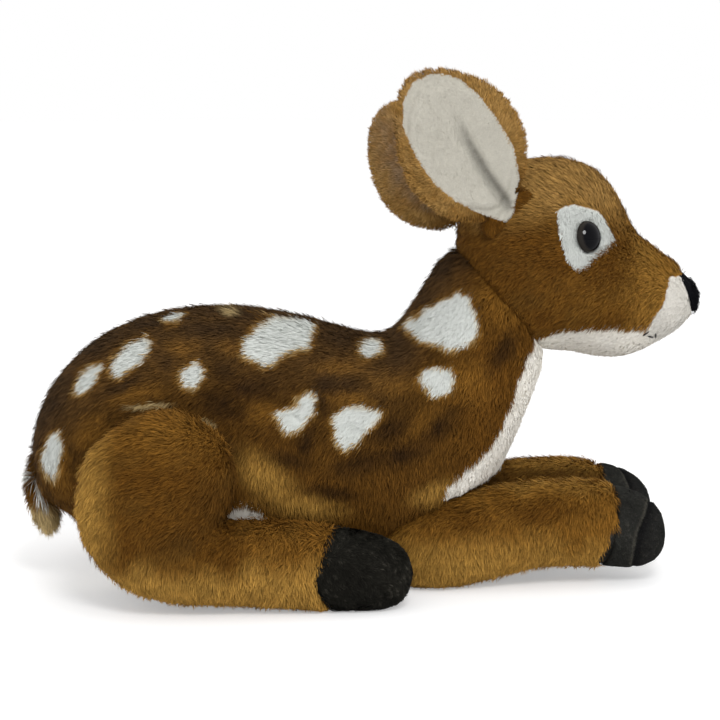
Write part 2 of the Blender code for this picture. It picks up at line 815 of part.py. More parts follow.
class Ear:
    """A cupped ear of two layers on a rolled root."""

    def __init__(self, name, surface):
        self.name = name
        self.side = sides[name]
        back, out, forward = (math.radians(angle) for angle in ear_poses[name])
        lean = Matrix.Rotation(-back, 3, "Y") @ Matrix.Rotation(-self.side * out, 3, "X")
        turn = lean @ Matrix.Rotation(-self.side * forward, 3, "Z")
        self.along = turn @ Vector((0, 0, 1))
        self.across = turn @ Vector((1, 0, 0))
        self.face = turn @ Vector((0, self.side, 0))
        foot = head.place(ear_seat_shares[name]) + Vector((0, self.side * ear_spread_share * head_width, 0))
        hit = surface.ray_cast(foot + self.along * ear_length, -self.along)[0]
        self.seat = hit - self.along * ear_root_radius * ear_sink_share

    def groove(self, margin):
        length = ear_root_length + 2 * (seam_gap + margin)
        return rod("ear_groove", self.seat, self.across, ear_root_radius + seam_gap + margin, length)

    def surface(self, tip, edge):
        """A place on the cupped leaf, with tip from -1 to 1 along it and edge from -1 to 1 across."""
        narrow = 1 - ear_foot_share * max(-tip, 0) ** 2 - ear_point_share * max(tip, 0) ** 2
        cup = ear_cup_depth * (edge ** 2 * (1 + max(-tip, 0)) - ear_bow_share * (1 - tip ** 2))
        place = self.seat + self.along * ear_length * (1 + tip) / 2
        return place + self.across * edge * narrow * ear_width / 2 + self.face * cup

    def layer(self, name, scale_share, shift_share, foot_share, rise):
        """One layer of the ear: a disc drawn out to a leaf, set off from the middle and thickened.

        A foot share above 0 draws the layer in towards the ear's root."""
        shape = bmesh.new()
        bmesh.ops.create_grid(shape, x_segments=4, y_segments=4, size=1)
        for vertex in shape.verts:
            flat = vertex.co.copy()
            tip = flat.x * math.sqrt(1 - flat.y ** 2 / 2) * scale_share + shift_share
            edge = flat.y * math.sqrt(1 - flat.x ** 2 / 2) * scale_share * (1 - foot_share * max(-tip, 0) ** 2)
            place = self.surface(tip, edge)
            upward = self.surface(tip + slope_step_share, edge) - place
            sideward = self.surface(tip, edge + slope_step_share) - place
            normal = upward.cross(sideward).normalized()
            normal *= math.copysign(1, normal.dot(self.face))
            vertex.co = place + normal * rise
        mesh = bpy.data.meshes.new(name)
        shape.to_mesh(mesh)
        shape.free()
        made = add_cutter(name, mesh)
        solid = made.modifiers.new("thickness", "SOLIDIFY")
        solid.thickness = ear_layer
        solid.offset = 0
        smooth = made.modifiers.new("smooth", "SUBSURF")
        smooth.levels = 1
        smooth.render_levels = 1
        return applied(made)

    def make(self, carrier):
        seam = joint_empty("ear_seam_" + self.name, self.seat, carrier)
        rise = (ear_layer + ear_layer_gap) / 2
        back = self.layer("ear_back", 1.0, 0.0, 0.0, -rise)
        root_bar = rod("ear_root", self.seat, self.across, ear_root_radius, ear_root_length, 16)
        joined(back, root_bar)
        finish(back, "ear_back_" + self.name, brown_pile, seam)
        lining = self.layer(
            "ear_lining", ear_lining_share, ear_lining_shift_share, ear_lining_foot_share, rise
        )
        finish(lining, "ear_lining_" + self.name, white_pile, seam)


def make_limb(name, side_name, shape, tools_at, hoof_edge, seam_place, skin):
    """A leg's cover and stuffing with its hoof, which closes the cover's open end."""
    seam = joint_empty(name + "_seam_" + side_name, seam_place, root)
    outer = shape.form(name + "_form", 8)
    core = shape.form(name + "_core", 6, 2)
    outside, hollow, stuffing = bag(name, outer, core, tools_at)
    end = ahead_of(hoof_edge)
    hoof = cut(kept_within(outside, prism("hoof_end", end, body_length), "hoof"), hollow)
    cover = cut(outside, prism("hoof_room", widened(end, seam_gap), body_length), hollow)
    finish(cover, name + "_cover_" + side_name, skin, seam)
    finish(stuffing, name + "_stuffing_" + side_name, stuffing_fibre, seam)
    return hoof, outer, seam


def make_forelegs():
    """Both forelegs, which lie forward from the shoulders and end in cleft hooves."""
    for name, side in sides.items():
        middle = side * foreleg_spacing / 2
        shape = foreleg_shape(middle, foreleg_extra_length[name])
        place = shoulder + Vector((0, middle, 0))
        edge = shape.outline(fore_hoof_edge_shares)
        hoof, outer, seam = make_limb(
            "foreleg", name, shape, lambda margin, ends: [floor_tool(margin)], edge, place, tan_pile
        )
        ridge = grown(outer, hoof_cleft_depth, "cleft")
        cut(ridge, grown(outer, -hoof_cleft_depth, "cleft_bed"))
        half = hoof_cleft_width / 2
        start = edge[0].x + foreleg_length * cleft_start_share
        slot = box("slot", (start, middle - half, 0), (body_length * 2, middle + half, foreleg_height))
        cut(hoof, combine(ridge, slot, "INTERSECT"))
        finish(hoof, "fore_hoof_" + name, black_velour, seam)


def make_hind_legs():
    """Both hind legs, folded at the body's sides with flat inner faces on the hip seats."""
    for name, side in sides.items():
        inner = hip_plane - body_length
        middle = side * (hip_plane + hind_leg_thickness * hind_leg_reach_share)
        shape = hind_leg_shape(middle)

        def tools_at(margin, ends):
            low = sorted((side * inner, side * (hip_plane + margin)))
            reach = body_length * 2
            return [floor_tool(margin), box("inside", (-reach, low[0], -reach), (reach, low[1], reach))]

        place = hip + Vector((0, side * hip_plane, 0))
        edge = shape.outline(hind_hoof_edge_shares)
        hoof, outer, seam = make_limb("hind_leg", name, shape, tools_at, edge, place, tan_pile)
        finish(hoof, "hind_hoof_" + name, black_velour, seam)


def make_tail():
    """The tail, brown behind and white towards the rump, on a round root."""
    seam = joint_empty("tail_seam", tail_seat, root)
    poles = (tail_root_share, tail_tip_share)
    shape = Shaped(tail_shares, poles, tail_seat, tail_thickness, tail_length, tail_width, 0.0)
    form = cut(shape.form("tail_form", 6), grown(body.form("rump", 10), seam_gap, "rump_room"))
    across = Vector((0, 1, 0))
    root_bar = rod("tail_root", tail_seat, across, tail_root_radius, tail_width * tail_root_width_share)
    first = shape.place(tail_root_share)
    second = shape.place(tail_tip_share)
    way = Vector((seam_gap, 0, 0))
    top = joined(cut(copied(form, "tail_top"), half_space("under_side", first, second, True)), root_bar)
    reach = body_length
    low = tail_seat.z - tail_root_radius - seam_gap
    above = box("above", (-reach, -reach, low), (reach, reach, low + reach))
    under = cut(form, half_space("top_side", first + way, second + way, False), above)
    finish(top, "tail_top", brown_pile, seam)
    finish(under, "tail_underside", white_pile, seam)


def stand_on_origin():
    """Move the root so that the middle of the fawn's bounding box stands over the origin."""
    bpy.context.view_layer.update()
    meshes = [piece for piece in parts.objects if piece.type == "MESH"]
    places = [piece.matrix_world @ Vector(corner) for piece in meshes for corner in piece.bound_box]
    middle_x = (min(place.x for place in places) + max(place.x for place in places)) / 2
    middle_y = (min(place.y for place in places) + max(place.y for place in places)) / 2
    root.location = (-middle_x, -middle_y, 0)


make_body()
make_head()
make_forelegs()
make_hind_legs()
make_tail()
stand_on_origin()
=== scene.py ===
"""Dress the stuffed fawn: smooth covers over its panels, combed pile, eyes and stitches."""

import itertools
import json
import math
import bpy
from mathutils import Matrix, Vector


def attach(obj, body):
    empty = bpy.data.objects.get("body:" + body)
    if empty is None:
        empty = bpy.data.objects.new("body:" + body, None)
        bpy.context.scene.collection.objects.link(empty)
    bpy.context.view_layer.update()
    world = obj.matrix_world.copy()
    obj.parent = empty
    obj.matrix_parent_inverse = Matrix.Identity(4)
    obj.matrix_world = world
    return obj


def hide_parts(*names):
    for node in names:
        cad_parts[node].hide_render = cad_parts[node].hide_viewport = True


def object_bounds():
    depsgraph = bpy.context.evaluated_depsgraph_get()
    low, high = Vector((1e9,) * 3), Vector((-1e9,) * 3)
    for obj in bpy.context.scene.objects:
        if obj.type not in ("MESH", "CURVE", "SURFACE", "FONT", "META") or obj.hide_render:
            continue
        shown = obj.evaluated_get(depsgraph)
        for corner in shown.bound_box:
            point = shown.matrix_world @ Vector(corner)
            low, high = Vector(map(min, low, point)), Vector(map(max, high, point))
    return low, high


bl_info = {
    "name": "Plush Fawn",
    "version": (1, 0, 0),
    "blender": (4, 5, 0),
    "location": "3D View > Sidebar > Fawn",
    "description": "Covers, pile, eyes, stitches and studio for a lying stuffed fawn",
    "category": "Object",
}

from dataclasses import dataclass

import bmesh
import bpy
import numpy as np
from bpy.props import FloatProperty, FloatVectorProperty, IntProperty, PointerProperty
from mathutils import Matrix, Vector
from mathutils.bvhtree import BVHTree

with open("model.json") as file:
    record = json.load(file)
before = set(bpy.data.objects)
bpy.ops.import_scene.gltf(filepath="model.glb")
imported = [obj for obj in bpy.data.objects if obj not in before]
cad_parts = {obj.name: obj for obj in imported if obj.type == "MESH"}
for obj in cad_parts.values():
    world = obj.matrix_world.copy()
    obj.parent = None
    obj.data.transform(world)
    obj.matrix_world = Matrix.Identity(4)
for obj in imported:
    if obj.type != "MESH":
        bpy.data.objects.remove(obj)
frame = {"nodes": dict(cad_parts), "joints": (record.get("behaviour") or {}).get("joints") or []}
cad_low, cad_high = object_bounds()
cad_nodes = frame["nodes"]
joint_of = {joint["child"]: joint for joint in frame["joints"]}

SIDES = {"right": -1, "left": 1}
MM = 0.001
# How far from its root a strand shows most
LEAN = 2.2 * MM
# Points closer than this are one point
HAIRLINE = MM / 100

# Sizes of the patches in which each coat's tones wander: broad ones and fine ones
BODY_PATCHES = (9 * MM, 3.2 * MM)
HEAD_PATCHES = (8 * MM, 3 * MM)
LEG_PATCHES = (9 * MM, 3 * MM)
EAR_PATCHES = (7 * MM, 2.5 * MM)
PLAIN_PATCHES = (6 * MM, 2 * MM)
VELOUR_PATCHES = (7 * MM, 1.1 * MM)
TAIL_PATCH = 4 * MM
# Sizes of the patches in which strands sway, drift, grow taller and change tone together
SWAY_PATCH = 3.2 * MM
DRIFT_PATCH = 13 * MM
TALL_PATCH = 5 * MM
STREAK_PATCH = 1.6 * MM

# The strip along the middle of the back that bears no spots
RIDGE_HEIGHT = (75 * MM, 82 * MM)
RIDGE_FRONT = (20 * MM, 40 * MM)
RIDGE_EDGE = (3 * MM, 6 * MM)
RIDGE_WANDER = 4 * MM
RIDGE_PATCH = 8 * MM
RIDGE_KEPT_OFF = 20

# Where a long pile is divided into pieces, along the fawn
BODY_SPLITS = (-0.100, -0.045, 0.015)
HIND_LEG_SPLITS = (-0.075,)
FORELEG_SPLITS = (0.08,)

# How covers are shaped beyond their panels
FAR_SIDE_FADE = 15 * MM
# How far from the middle the painted shade on the forelegs' inner sides reaches
INNER_SHADE_REACH = (14 * MM, 22 * MM)
EAR_BACK_HALF = (24 * MM, 36 * MM)
EAR_EDGE = 2 * MM
EAR_LET_OUT = (0.13, 0.03)
NECK_REACH = 60 * MM
NECK_FOOT = 80 * MM
NECK_RIM = 12 * MM
NECK_PULL = 3.2 * MM
LAP_HEIGHT = 9 * MM
LAP_FALL = 3.5 * MM
HAUNCH_FILL = 3.5 * MM
TAIL_SHIFT = 3 * MM
CLEFT_DEPTH = 0.9 * MM
NOSE_SHARES = (0.95, 0.9, 0.82)
NOSE_CURL = 2 * MM
NOSE_CURL_DEPTH = 1.4 * MM
NAP_RELIEF = 0.4 * MM

# The room that a strand needs above its root, and how near a neighbouring cover presses on it
ROOM_ABOVE = 2.5 * MM
PRESSED_WITHIN = 5 * MM
FLOOR_GAP = 0.2 * MM

# Eyes and stitches
EYE_WIDTH = 0.93
EYE_HEIGHT = 0.85
EYE_STEPS = 16
STITCH_SIZE = (3.6 * MM, 0.75 * MM, 0.9 * MM)
STITCH_LIFT = 0.7 * MM

# The studio: (name, place, size, power, seen only by the eyes) of each lamp, in metres and watts
FLOOR_RADIUS = 4
FLOOR_GLOW = 0.32
ROOM_LIGHT = 0.82
SENSOR_WIDTH = 36
LAMPS = (
    ("key", (0.08, -1.07, 1.03), 0.42, 6.8, False),
    ("glint", (0.07, -0.96, 0.92), 0.56, 36.0, True),
    ("side_fill", (1.3, -0.7, 0.25), 0.9, 4.5, False),
    ("back_fill", (-0.5, 1.3, 1.0), 0.9, 3.0, False),
)

# The side view in which the coat's pattern is laid out, in points of a picture 720 points wide
PICTURE_WIDTH = 720
PICTURE_MIDDLE = PICTURE_WIDTH / 2
POINT = 0.000446
VIEW_AZIMUTH = math.radians(-6)
VIEW_ELEVATION = math.radians(9)
VIEW_DISTANCE = 1.0
VIEW_TARGET = np.array((-0.0032, 0.0, 0.0971))
VIEW_BACK = np.array((
    math.sin(VIEW_AZIMUTH) * math.cos(VIEW_ELEVATION),
    -math.cos(VIEW_AZIMUTH) * math.cos(VIEW_ELEVATION),
    math.sin(VIEW_ELEVATION),
))
VIEW_RIGHT = np.array((math.cos(VIEW_AZIMUTH), math.sin(VIEW_AZIMUTH), 0))
VIEW_UP = np.cross(VIEW_BACK, VIEW_RIGHT)
FAR_SIDE_SHIFT = np.array((7, 5))

# White spots, as outlines in picture points
SPOTS = (
    ((244, 356), (245, 344), (259, 329), (277, 322), (307, 319), (317, 323), (314, 337), (309, 351),
     (286, 356), (277, 364), (264, 368), (253, 361)),
    ((359, 355), (362, 348), (371, 342), (381, 346), (386, 354), (376, 358), (370, 362), (363, 361)),
    ((404, 327), (423, 313), (446, 300), (461, 293), (470, 298), (478, 313), (479, 333), (472, 345),
     (460, 350), (446, 350), (428, 342), (412, 335)),
    ((420, 379), (425, 370), (436, 367), (451, 368), (454, 376), (450, 390), (441, 397), (430, 396),
     (423, 388)),
    ((275, 412), (288, 408), (296, 406), (299, 397), (307, 392), (316, 395), (317, 404), (311, 417),
     (302, 429), (294, 434), (286, 433), (280, 424)),
    ((332, 422), (341, 411), (355, 406), (368, 408), (383, 412), (377, 422), (366, 431), (357, 442),
     (345, 449), (337, 442)),
    ((78, 391), (80, 381), (89, 370), (101, 363), (105, 368), (98, 382), (88, 393), (82, 396)),
    ((112, 370), (119, 357), (133, 344), (147, 339), (152, 345), (145, 359), (136, 370), (124, 379),
     (115, 377)),
    ((180, 377), (190, 367), (199, 364), (205, 371), (203, 382), (195, 390), (187, 388)),
    ((45, 455), (49, 439), (55, 432), (62, 433), (63, 451), (61, 469), (57, 480), (50, 476), (45, 465)),
    ((164, 321), (170, 311), (182, 305), (194, 305), (188, 314), (179, 323), (170, 325)),
    ((243, 303), (258, 303), (279, 310), (273, 316), (261, 314), (250, 311)),
    ((29, 478), (34, 476), (42, 486), (44, 501), (38, 497), (32, 488)),
)
# Softer ovals: (x, y, half length, half width, turn in degrees) in picture points
PALE_FLECKS = ((150, 406, 22, 3, 4), (209, 422, 8, 3, -20), (231, 314, 10, 5, -10))
# Dark markings of the coat, together with painted shade above the thigh and between the thigh and the flank
DARK_MARKS_AND_SHADE = (
    (222, 404, 26, 14, -10), (252, 388, 28, 12, 10), (330, 384, 18, 9, 5), (321, 402, 7, 14, 20),
    (306, 442, 8, 20, -20), (292, 458, 24, 9, -10), (360, 462, 34, 10, 14), (405, 452, 26, 10, 20),
    (335, 490, 24, 7, -8), (402, 345, 18, 26, -10), (420, 310, 30, 9, 42), (448, 268, 24, 10, 50),
    (470, 262, 12, 10, 30), (56, 402, 40, 14, 60), (36, 460, 40, 9, 80), (100, 346, 34, 12, 32),
    (150, 324, 30, 9, 10), (210, 330, 34, 9, 0), (226, 372, 12, 14, 0), (250, 318, 30, 9, -6),
    (340, 340, 26, 10, -12), (122, 388, 22, 6, 30), (168, 366, 10, 16, 40), (216, 440, 10, 30, 62),
    (500, 352, 10, 24, -30), (392, 428, 22, 10, 20), (440, 424, 24, 10, 40), (350, 384, 26, 8, -6),
)
WARM_PLACES = (
    (388, 384, 34, 12, 4), (340, 368, 24, 8, 0), (168, 366, 12, 12, 0), (184, 350, 20, 8, 0),
    (262, 412, 14, 12, 0), (350, 398, 28, 8, 0), (470, 380, 22, 20, 0), (500, 300, 22, 30, 20),
    (66, 470, 30, 8, 90), (94, 430, 12, 20, -30), (140, 394, 34, 8, 12), (230, 350, 12, 8, 0),
    (430, 420, 24, 10, 20),
)
GOLD_PLACES = ((268, 478, 42, 20, -40), (300, 502, 44, 13, -8), (440, 490, 30, 12, 15))
JAW_PLACES = ((565, 296, 40, 22, -10), (610, 300, 40, 16, 0))
CHEEK_PLACES = ((540, 290, 44, 30, 0), (500, 262, 30, 40, 0))
# Painted shade in the hind legs' folds and in the crease along the thigh's edge
LEG_FOLD_SHADE = ((190, 535, 40, 20, 30), (215, 505, 30, 26, 60), (236, 455, 12, 34, 15), (205, 420, 22, 10, -35))
FORELEG_BROWN = ((450, 520, 50, 16, 0), (540, 512, 50, 12, 0))

# Outlines and lines of the other markings and of the forms that scene and coats share
BELLY_GLIMPSE = ((216, 534), (222, 520), (234, 507), (247, 504), (260, 510), (272, 520), (272, 534))
CHEST_SIDE = (
    (537, 333), (530, 356), (518, 389), (503, 422), (487, 448), (466, 469), (444, 488), (442, 502),
    (470, 505), (520, 480), (560, 400), (575, 335),
)
CHIN_SIDE = (
    (540, 335), (560, 329), (580, 327), (610, 325), (648, 328), (652, 345), (640, 375), (540, 375),
)
EAR_LINING = (
    (445, 76), (431, 76), (414, 83), (405, 102), (404, 126), (412, 145), (422, 164), (436, 183),
    (455, 199), (478, 211), (497, 218), (508, 221), (512, 213), (513, 204), (518, 187), (516, 168),
    (512, 149), (502, 131), (490, 112), (476, 95), (460, 81),
)
EAR_FOLD = ((455, 110), (469, 143), (488, 174), (509, 203))
HOOF_HEEL = ((613, 498), (616, 514), (609, 535), (594, 568), (640, 580), (640, 498))
CLEFT = ((650, 484), (648, 500), (645, 514), (637, 533), (632, 562))
TAIL_LINE = ((31, 474), (36, 488), (43, 505))

# Where a tone or a form comes and goes in the picture, in points: (from, to)
CHEST_FRONT = (440, 500)
FLANK_DEPTH = (90, 150)
RIDGE_DEPTH = (4, 40)
UMBER_DEPTH = (30, 100)
WARM_RIM = (1, 6)
PALE_RIM = (-0.5, 3)
SPOT_RIM = (-3, 0.5)
CROWN = (188, 240)
SNOUT = (610, 650)
NAPE = (480, 530)
# THIGH_BACK, SHANK_FOOT, FORELEG_FOOT and FORELEG_TOP also bound the painted rim light on the legs' edges
THIGH_BACK = (84, 126)
THIGH_TOP = (424, 478)
SHANK_START = (230, 260)
SHANK_TOP = (500, 540)
SHANK_FOOT = (548, 592)
FORELEG_FOOT = (520, 572)
FORELEG_TOP = (480, 500)
TAIL_ROOT = (440, 480)
TAIL_MIDDLE = (470, 500)
TAIL_TIP = (496, 510)
TAIL_STREAK = (0.8, 2.6)
FOLD_START = (108, 160)
FOLD_END = (206, 222)
FOLD_WIDTHS = (3.0, 7.0)
CLEFT_MIDDLE = 1.5
CLEFT_WIDTH = 2.5
HAUNCH_BACK = (85, 160)
HAUNCH_TOP = (405, 455)
HAUNCH_FOOT = (530, 590)

# The line of the back, in picture points
BACK_LINE = (
    (23, 480), (35, 429), (50, 394), (65, 370), (80, 356), (110, 330), (140, 320), (170, 310),
    (200, 305), (230, 303), (260, 308), (305, 316), (350, 329), (380, 332), (395, 324),
    (410, 310), (425, 288), (440, 254), (470, 230),
)

# Which way the pile is combed: (x, y, forward, upward), with x and y in picture points
BODY_FLOW = (
    (50, 420, -0.45, -0.85), (100, 350, -0.75, -0.60), (170, 320, -0.95, -0.30), (280, 320, -1.00, -0.20),
    (380, 345, -0.95, -0.35), (445, 290, -0.60, -0.80), (500, 330, -0.40, -0.90), (500, 420, -0.25, -0.95),
    (430, 400, -0.50, -0.85), (430, 470, -0.15, -1.00), (340, 420, -0.75, -0.60), (280, 480, 0.10, -1.00),
    (360, 500, -0.05, -1.00), (240, 400, -0.70, -0.65), (70, 480, -0.10, -1.00),
)
HEAD_FLOW = (
    (545, 185, -0.75, 0.35), (585, 180, -0.45, 0.85), (612, 205, -0.30, 0.90), (645, 248, -0.60, 0.45),
    (672, 265, -0.80, 0.20), (630, 280, -0.80, -0.25), (600, 290, -0.75, -0.50), (560, 300, -0.65, -0.70),
    (520, 240, -0.85, -0.30), (500, 290, -0.60, -0.80), (600, 320, -0.60, -0.75), (645, 310, -0.70, -0.60),
    (530, 325, -0.45, -0.90), (550, 225, -0.95, 0.10),
)
HIND_LEG_FLOW = (
    (105, 430, -0.85, -0.35), (160, 418, -1.00, 0.10), (215, 440, -0.75, -0.55), (90, 500, -0.45, -0.88),
    (170, 470, -0.95, -0.25), (190, 510, -0.80, -0.55), (110, 570, -0.20, -0.98), (170, 580, -0.10, -1.00),
    (240, 580, 0.00, -1.00), (310, 575, 0.12, -0.98), (250, 540, -0.45, -0.85), (320, 540, -0.30, -0.90),
    (235, 480, -0.50, -0.85),
)
FORELEG_FLOW = (
    (450, 498, -0.80, -0.60), (520, 480, -1.30, -0.20), (600, 482, -1.10, 0.00),
    (430, 510, -0.35, -0.90), (520, 490, -0.25, -0.95), (600, 495, 0.15, -0.95), (450, 560, 0.05, -1.00),
    (520, 550, 0.00, -1.00), (590, 550, 0.10, -1.00),
)
STITCH_PLACES = ((645, 333), (650, 336), (655, 335))


def shade(red, green, blue):
    """A colour written as it looks on screen, from 0 to 255, as a linear one."""
    levels = [level / 255 for level in (red, green, blue)]
    return tuple(((level + 0.055) / 1.055) ** 2.4 for level in levels)


def new_piece(name, mesh):
    made = bpy.data.objects.new(name, mesh)
    bpy.context.scene.collection.objects.link(made)
    return made


def mesh_of(shape, name, material=None):
    """Turn a bmesh into a smooth mesh and free it."""
    mesh = bpy.data.meshes.new(name)
    shape.to_mesh(mesh)
    shape.free()
    mesh.shade_smooth()
    if material:
        mesh.materials.append(material)
    return mesh


def new_material(name, roughness, gloss=0.5):
    """A material with its shader, nodes and links."""
    made = bpy.data.materials.new(name)
    made.use_nodes = True
    tree = made.node_tree
    shader = tree.nodes["Principled BSDF"]
    shader.inputs["Roughness"].default_value = roughness
    shader.inputs["Specular IOR Level"].default_value = gloss
    return made, shader, tree.nodes, tree.links


def add_node(nodes, kind, values=None, **settings):
    """A new node with its settings and the values of its inputs."""
    made = nodes.new(kind)
    for key, value in settings.items():
        setattr(made, key, value)
    for key, value in (values or {}).items():
        made.inputs[key].default_value = value
    return made


def tint_by(nodes, links, shader, measure, dark, light, low=0, high=1):
    """Colour a shader from dark to light as a measure goes from low to high."""
    tint = nodes.new("ShaderNodeValToRGB")
    for element, place, colour in zip(tint.color_ramp.elements, (low, high), (dark, light)):
        element.position = place
        element.color = (*colour, 1)
    links.new(measure, tint.inputs["Fac"])
    links.new(tint.outputs["Color"], shader.inputs["Base Color"])


def speckled_material(name, roughness, texture, scale, dark, light):
    """A material that goes from dark to light with a fine texture."""
    made, shader, nodes, links = new_material(name, roughness)
    where = nodes.new("ShaderNodeTexCoord")
    speckle = add_node(nodes, texture, {"Scale": scale})
    links.new(where.outputs["Object"], speckle.inputs["Vector"])
    tint_by(nodes, links, shader, speckle.outputs["Fac"], dark, light)
    return made


def bake_modifiers(piece):
    """Turn a piece's modifiers into plain mesh."""
    bpy.context.view_layer.update()
    graph = bpy.context.evaluated_depsgraph_get()
    mesh = bpy.data.meshes.new_from_object(piece.evaluated_get(graph))
    piece.modifiers.clear()
    piece.data = mesh
    mesh.name = piece.name
    return piece


def read_vectors(items, key):
    found = np.empty(len(items) * 3, np.float32)
    items.foreach_get(key, found)
    return found.reshape(-1, 3).astype(float)


def places_of(mesh):
    return read_vectors(mesh.vertices, "co")


def directions_of(mesh):
    return read_vectors(mesh.vertices, "normal")


def unit(vectors):
    return vectors / np.maximum(np.linalg.norm(vectors, axis=-1, keepdims=True), 1e-12)


def smooth_step(low, high, values):
    share = np.clip((values - low) / (high - low), 0, 1)
    return share * share * (3 - 2 * share)


def mixed(first, second, share):
    return first + (second - first) * np.clip(share, 0, 1)[:, None]


def mottle(places, size, seed):
    """Smooth random values from -0.5 to 0.5 that vary over a length."""
    scaled = places / size + seed * 17.31
    cell = np.floor(scaled)
    part = scaled - cell
    part = part * part * (3 - 2 * part)
    total = np.zeros(len(places))
    for corner in itertools.product((0, 1), repeat=3):
        corner = np.array(corner)
        key = (cell + corner) @ np.array((127.1, 311.7, 74.7))
        value = np.modf(np.abs(np.sin(key) * 43758.5453))[0]
        total += value * np.prod(np.where(corner, part, 1 - part), axis=1)
    return total - 0.5


def wandering(places, sizes, *seeds):
    """Mottling of several sizes, each with its seed."""
    return [mottle(places, size, seed) for size, seed in zip(sizes, seeds)]


def tree_of(mesh):
    mesh.calc_loop_triangles()
    corners = np.empty(len(mesh.loop_triangles) * 3, np.int32)
    mesh.loop_triangles.foreach_get("vertices", corners)
    return BVHTree.FromPolygons(places_of(mesh).tolist(), corners.reshape(-1, 3).tolist())


def seen_at(places):
    """Where places lie in the side view, in picture points, with the far side mirrored on the near one."""
    near = places.copy()
    near[:, 1] = -np.abs(near[:, 1])
    offset = near - VIEW_TARGET
    scale = VIEW_DISTANCE / (VIEW_DISTANCE - offset @ VIEW_BACK) / POINT
    across = PICTURE_MIDDLE + (offset @ VIEW_RIGHT) * scale
    down = PICTURE_MIDDLE - (offset @ VIEW_UP) * scale
    far = smooth_step(0.0, FAR_SIDE_FADE, places[:, 1])
    return np.stack((across, down), 1) + far[:, None] * FAR_SIDE_SHIFT


def sight_line(x, y):
    """The place from which the side view is seen and the direction of one of its points."""
    start = VIEW_TARGET + VIEW_BACK * VIEW_DISTANCE
    aside = VIEW_RIGHT * (x - PICTURE_MIDDLE) * POINT
    return start, unit(aside + VIEW_UP * (PICTURE_MIDDLE - y) * POINT - VIEW_BACK * VIEW_DISTANCE)


def edges_near(seen, starts, ends):
    """Each edge, with how far points are offset from its start and how far they lie from it."""
    for start, end in zip(starts, ends):
        edge = end - start
        offset = seen - start
        share = np.clip(offset @ edge / (edge @ edge), 0, 1)
        yield start, end, edge, offset, np.linalg.norm(offset - share[:, None] * edge, axis=1)


def outline_distance(seen, outline):
    """How far points lie outside a closed outline, and less than 0 inside it."""
    corners = np.array(outline, float)
    nearest = np.full(len(seen), np.inf)
    inside = np.zeros(len(seen), bool)
    for start, end, edge, offset, distance in edges_near(seen, corners, np.roll(corners, -1, axis=0)):
        nearest = np.minimum(nearest, distance)
        if edge[1]:
            spans = (start[1] > seen[:, 1]) != (end[1] > seen[:, 1])
            inside ^= spans & (offset[:, 0] < offset[:, 1] * edge[0] / edge[1])
    return np.where(inside, -nearest, nearest)


def line_distance(seen, line):
    """How far points lie from a line, to its right as more than 0 and to its left as less."""
    points = np.array(line, float)
    best = np.full(len(seen), np.inf)
    signed = np.zeros(len(seen))
    for _, _, edge, offset, distance in edges_near(seen, points, points[1:]):
        side = np.sign(offset[:, 0] * edge[1] - offset[:, 1] * edge[0])
        signed = np.where(distance < best, distance * side, signed)
        best = np.minimum(best, distance)
    return signed

def in_ovals(seen, ovals, low, high):
    """How much of each point lies in soft ovals."""
    found = np.zeros(len(seen))
    for x, y, length, width, turn in ovals:
        turn = math.radians(turn)
        right = seen[:, 0] - x
        up = y - seen[:, 1]
        along = right * math.cos(turn) + up * math.sin(turn)
        aside = up * math.cos(turn) - right * math.sin(turn)
        found = np.maximum(found, 1 - smooth_step(low, high, np.hypot(along / length, aside / width)))
    return found


def spot_distance(places, seen):
    """How far places lie outside the nearest white spot, whose edge wanders a little."""
    reach = np.full(len(seen), np.inf)
    for outline in SPOTS:
        reach = np.minimum(reach, outline_distance(seen, outline))
    wander, fine = wandering(places, BODY_PATCHES, 1, 2)
    return reach + 3.0 * wander + 5.0 * fine


def spot_edge(places, seen):
    """How far places lie outside the nearest spot, with none over the middle of the back."""
    over_back = smooth_step(*RIDGE_HEIGHT, places[:, 2]) * (1 - smooth_step(*RIDGE_FRONT, places[:, 0]))
    aside = np.abs(places[:, 1]) + RIDGE_WANDER * mottle(places, RIDGE_PATCH, 24)
    ridge = over_back * (1 - smooth_step(*RIDGE_EDGE, aside))
    return spot_distance(places, seen) + RIDGE_KEPT_OFF * ridge


def body_coats(places, normals, wearer):
    """Give the white spots, the chest's sides and the glimpse of the belly their own coats."""
    flow = unit(flowing(BODY_FLOW)(places, seen_at(places)))
    seen = seen_at(places + flow * LEAN)
    wearer = wearer.copy()
    on_side = wearer < 2
    wearer[on_side & (outline_distance(seen, CHEST_SIDE) < 0)] = 2
    wearer[on_side & (outline_distance(seen, BELLY_GLIMPSE) < 0)] = 3
    wearer[on_side & (spot_edge(places, seen) < 0)] = 4
    return wearer


def head_coats(places, normals, wearer):
    """Carry the chin's white up to the line of the jaw."""
    return np.where((wearer < 2) & (outline_distance(seen_at(places), CHIN_SIDE) < 0), 3, wearer)


def foreleg_coats(places, normals, wearer):
    """Carry the hoof's velour back under the end of the leg."""
    return np.where(outline_distance(seen_at(places), HOOF_HEEL) < 0, 1, 0)


def layered(places, tones, base, *layers):
    """One tone with others laid over it, each by its share at every place."""
    colour = np.tile(tones[base], (len(places), 1))
    for tone, share in layers:
        colour = mixed(colour, tones[tone], share)
    return colour


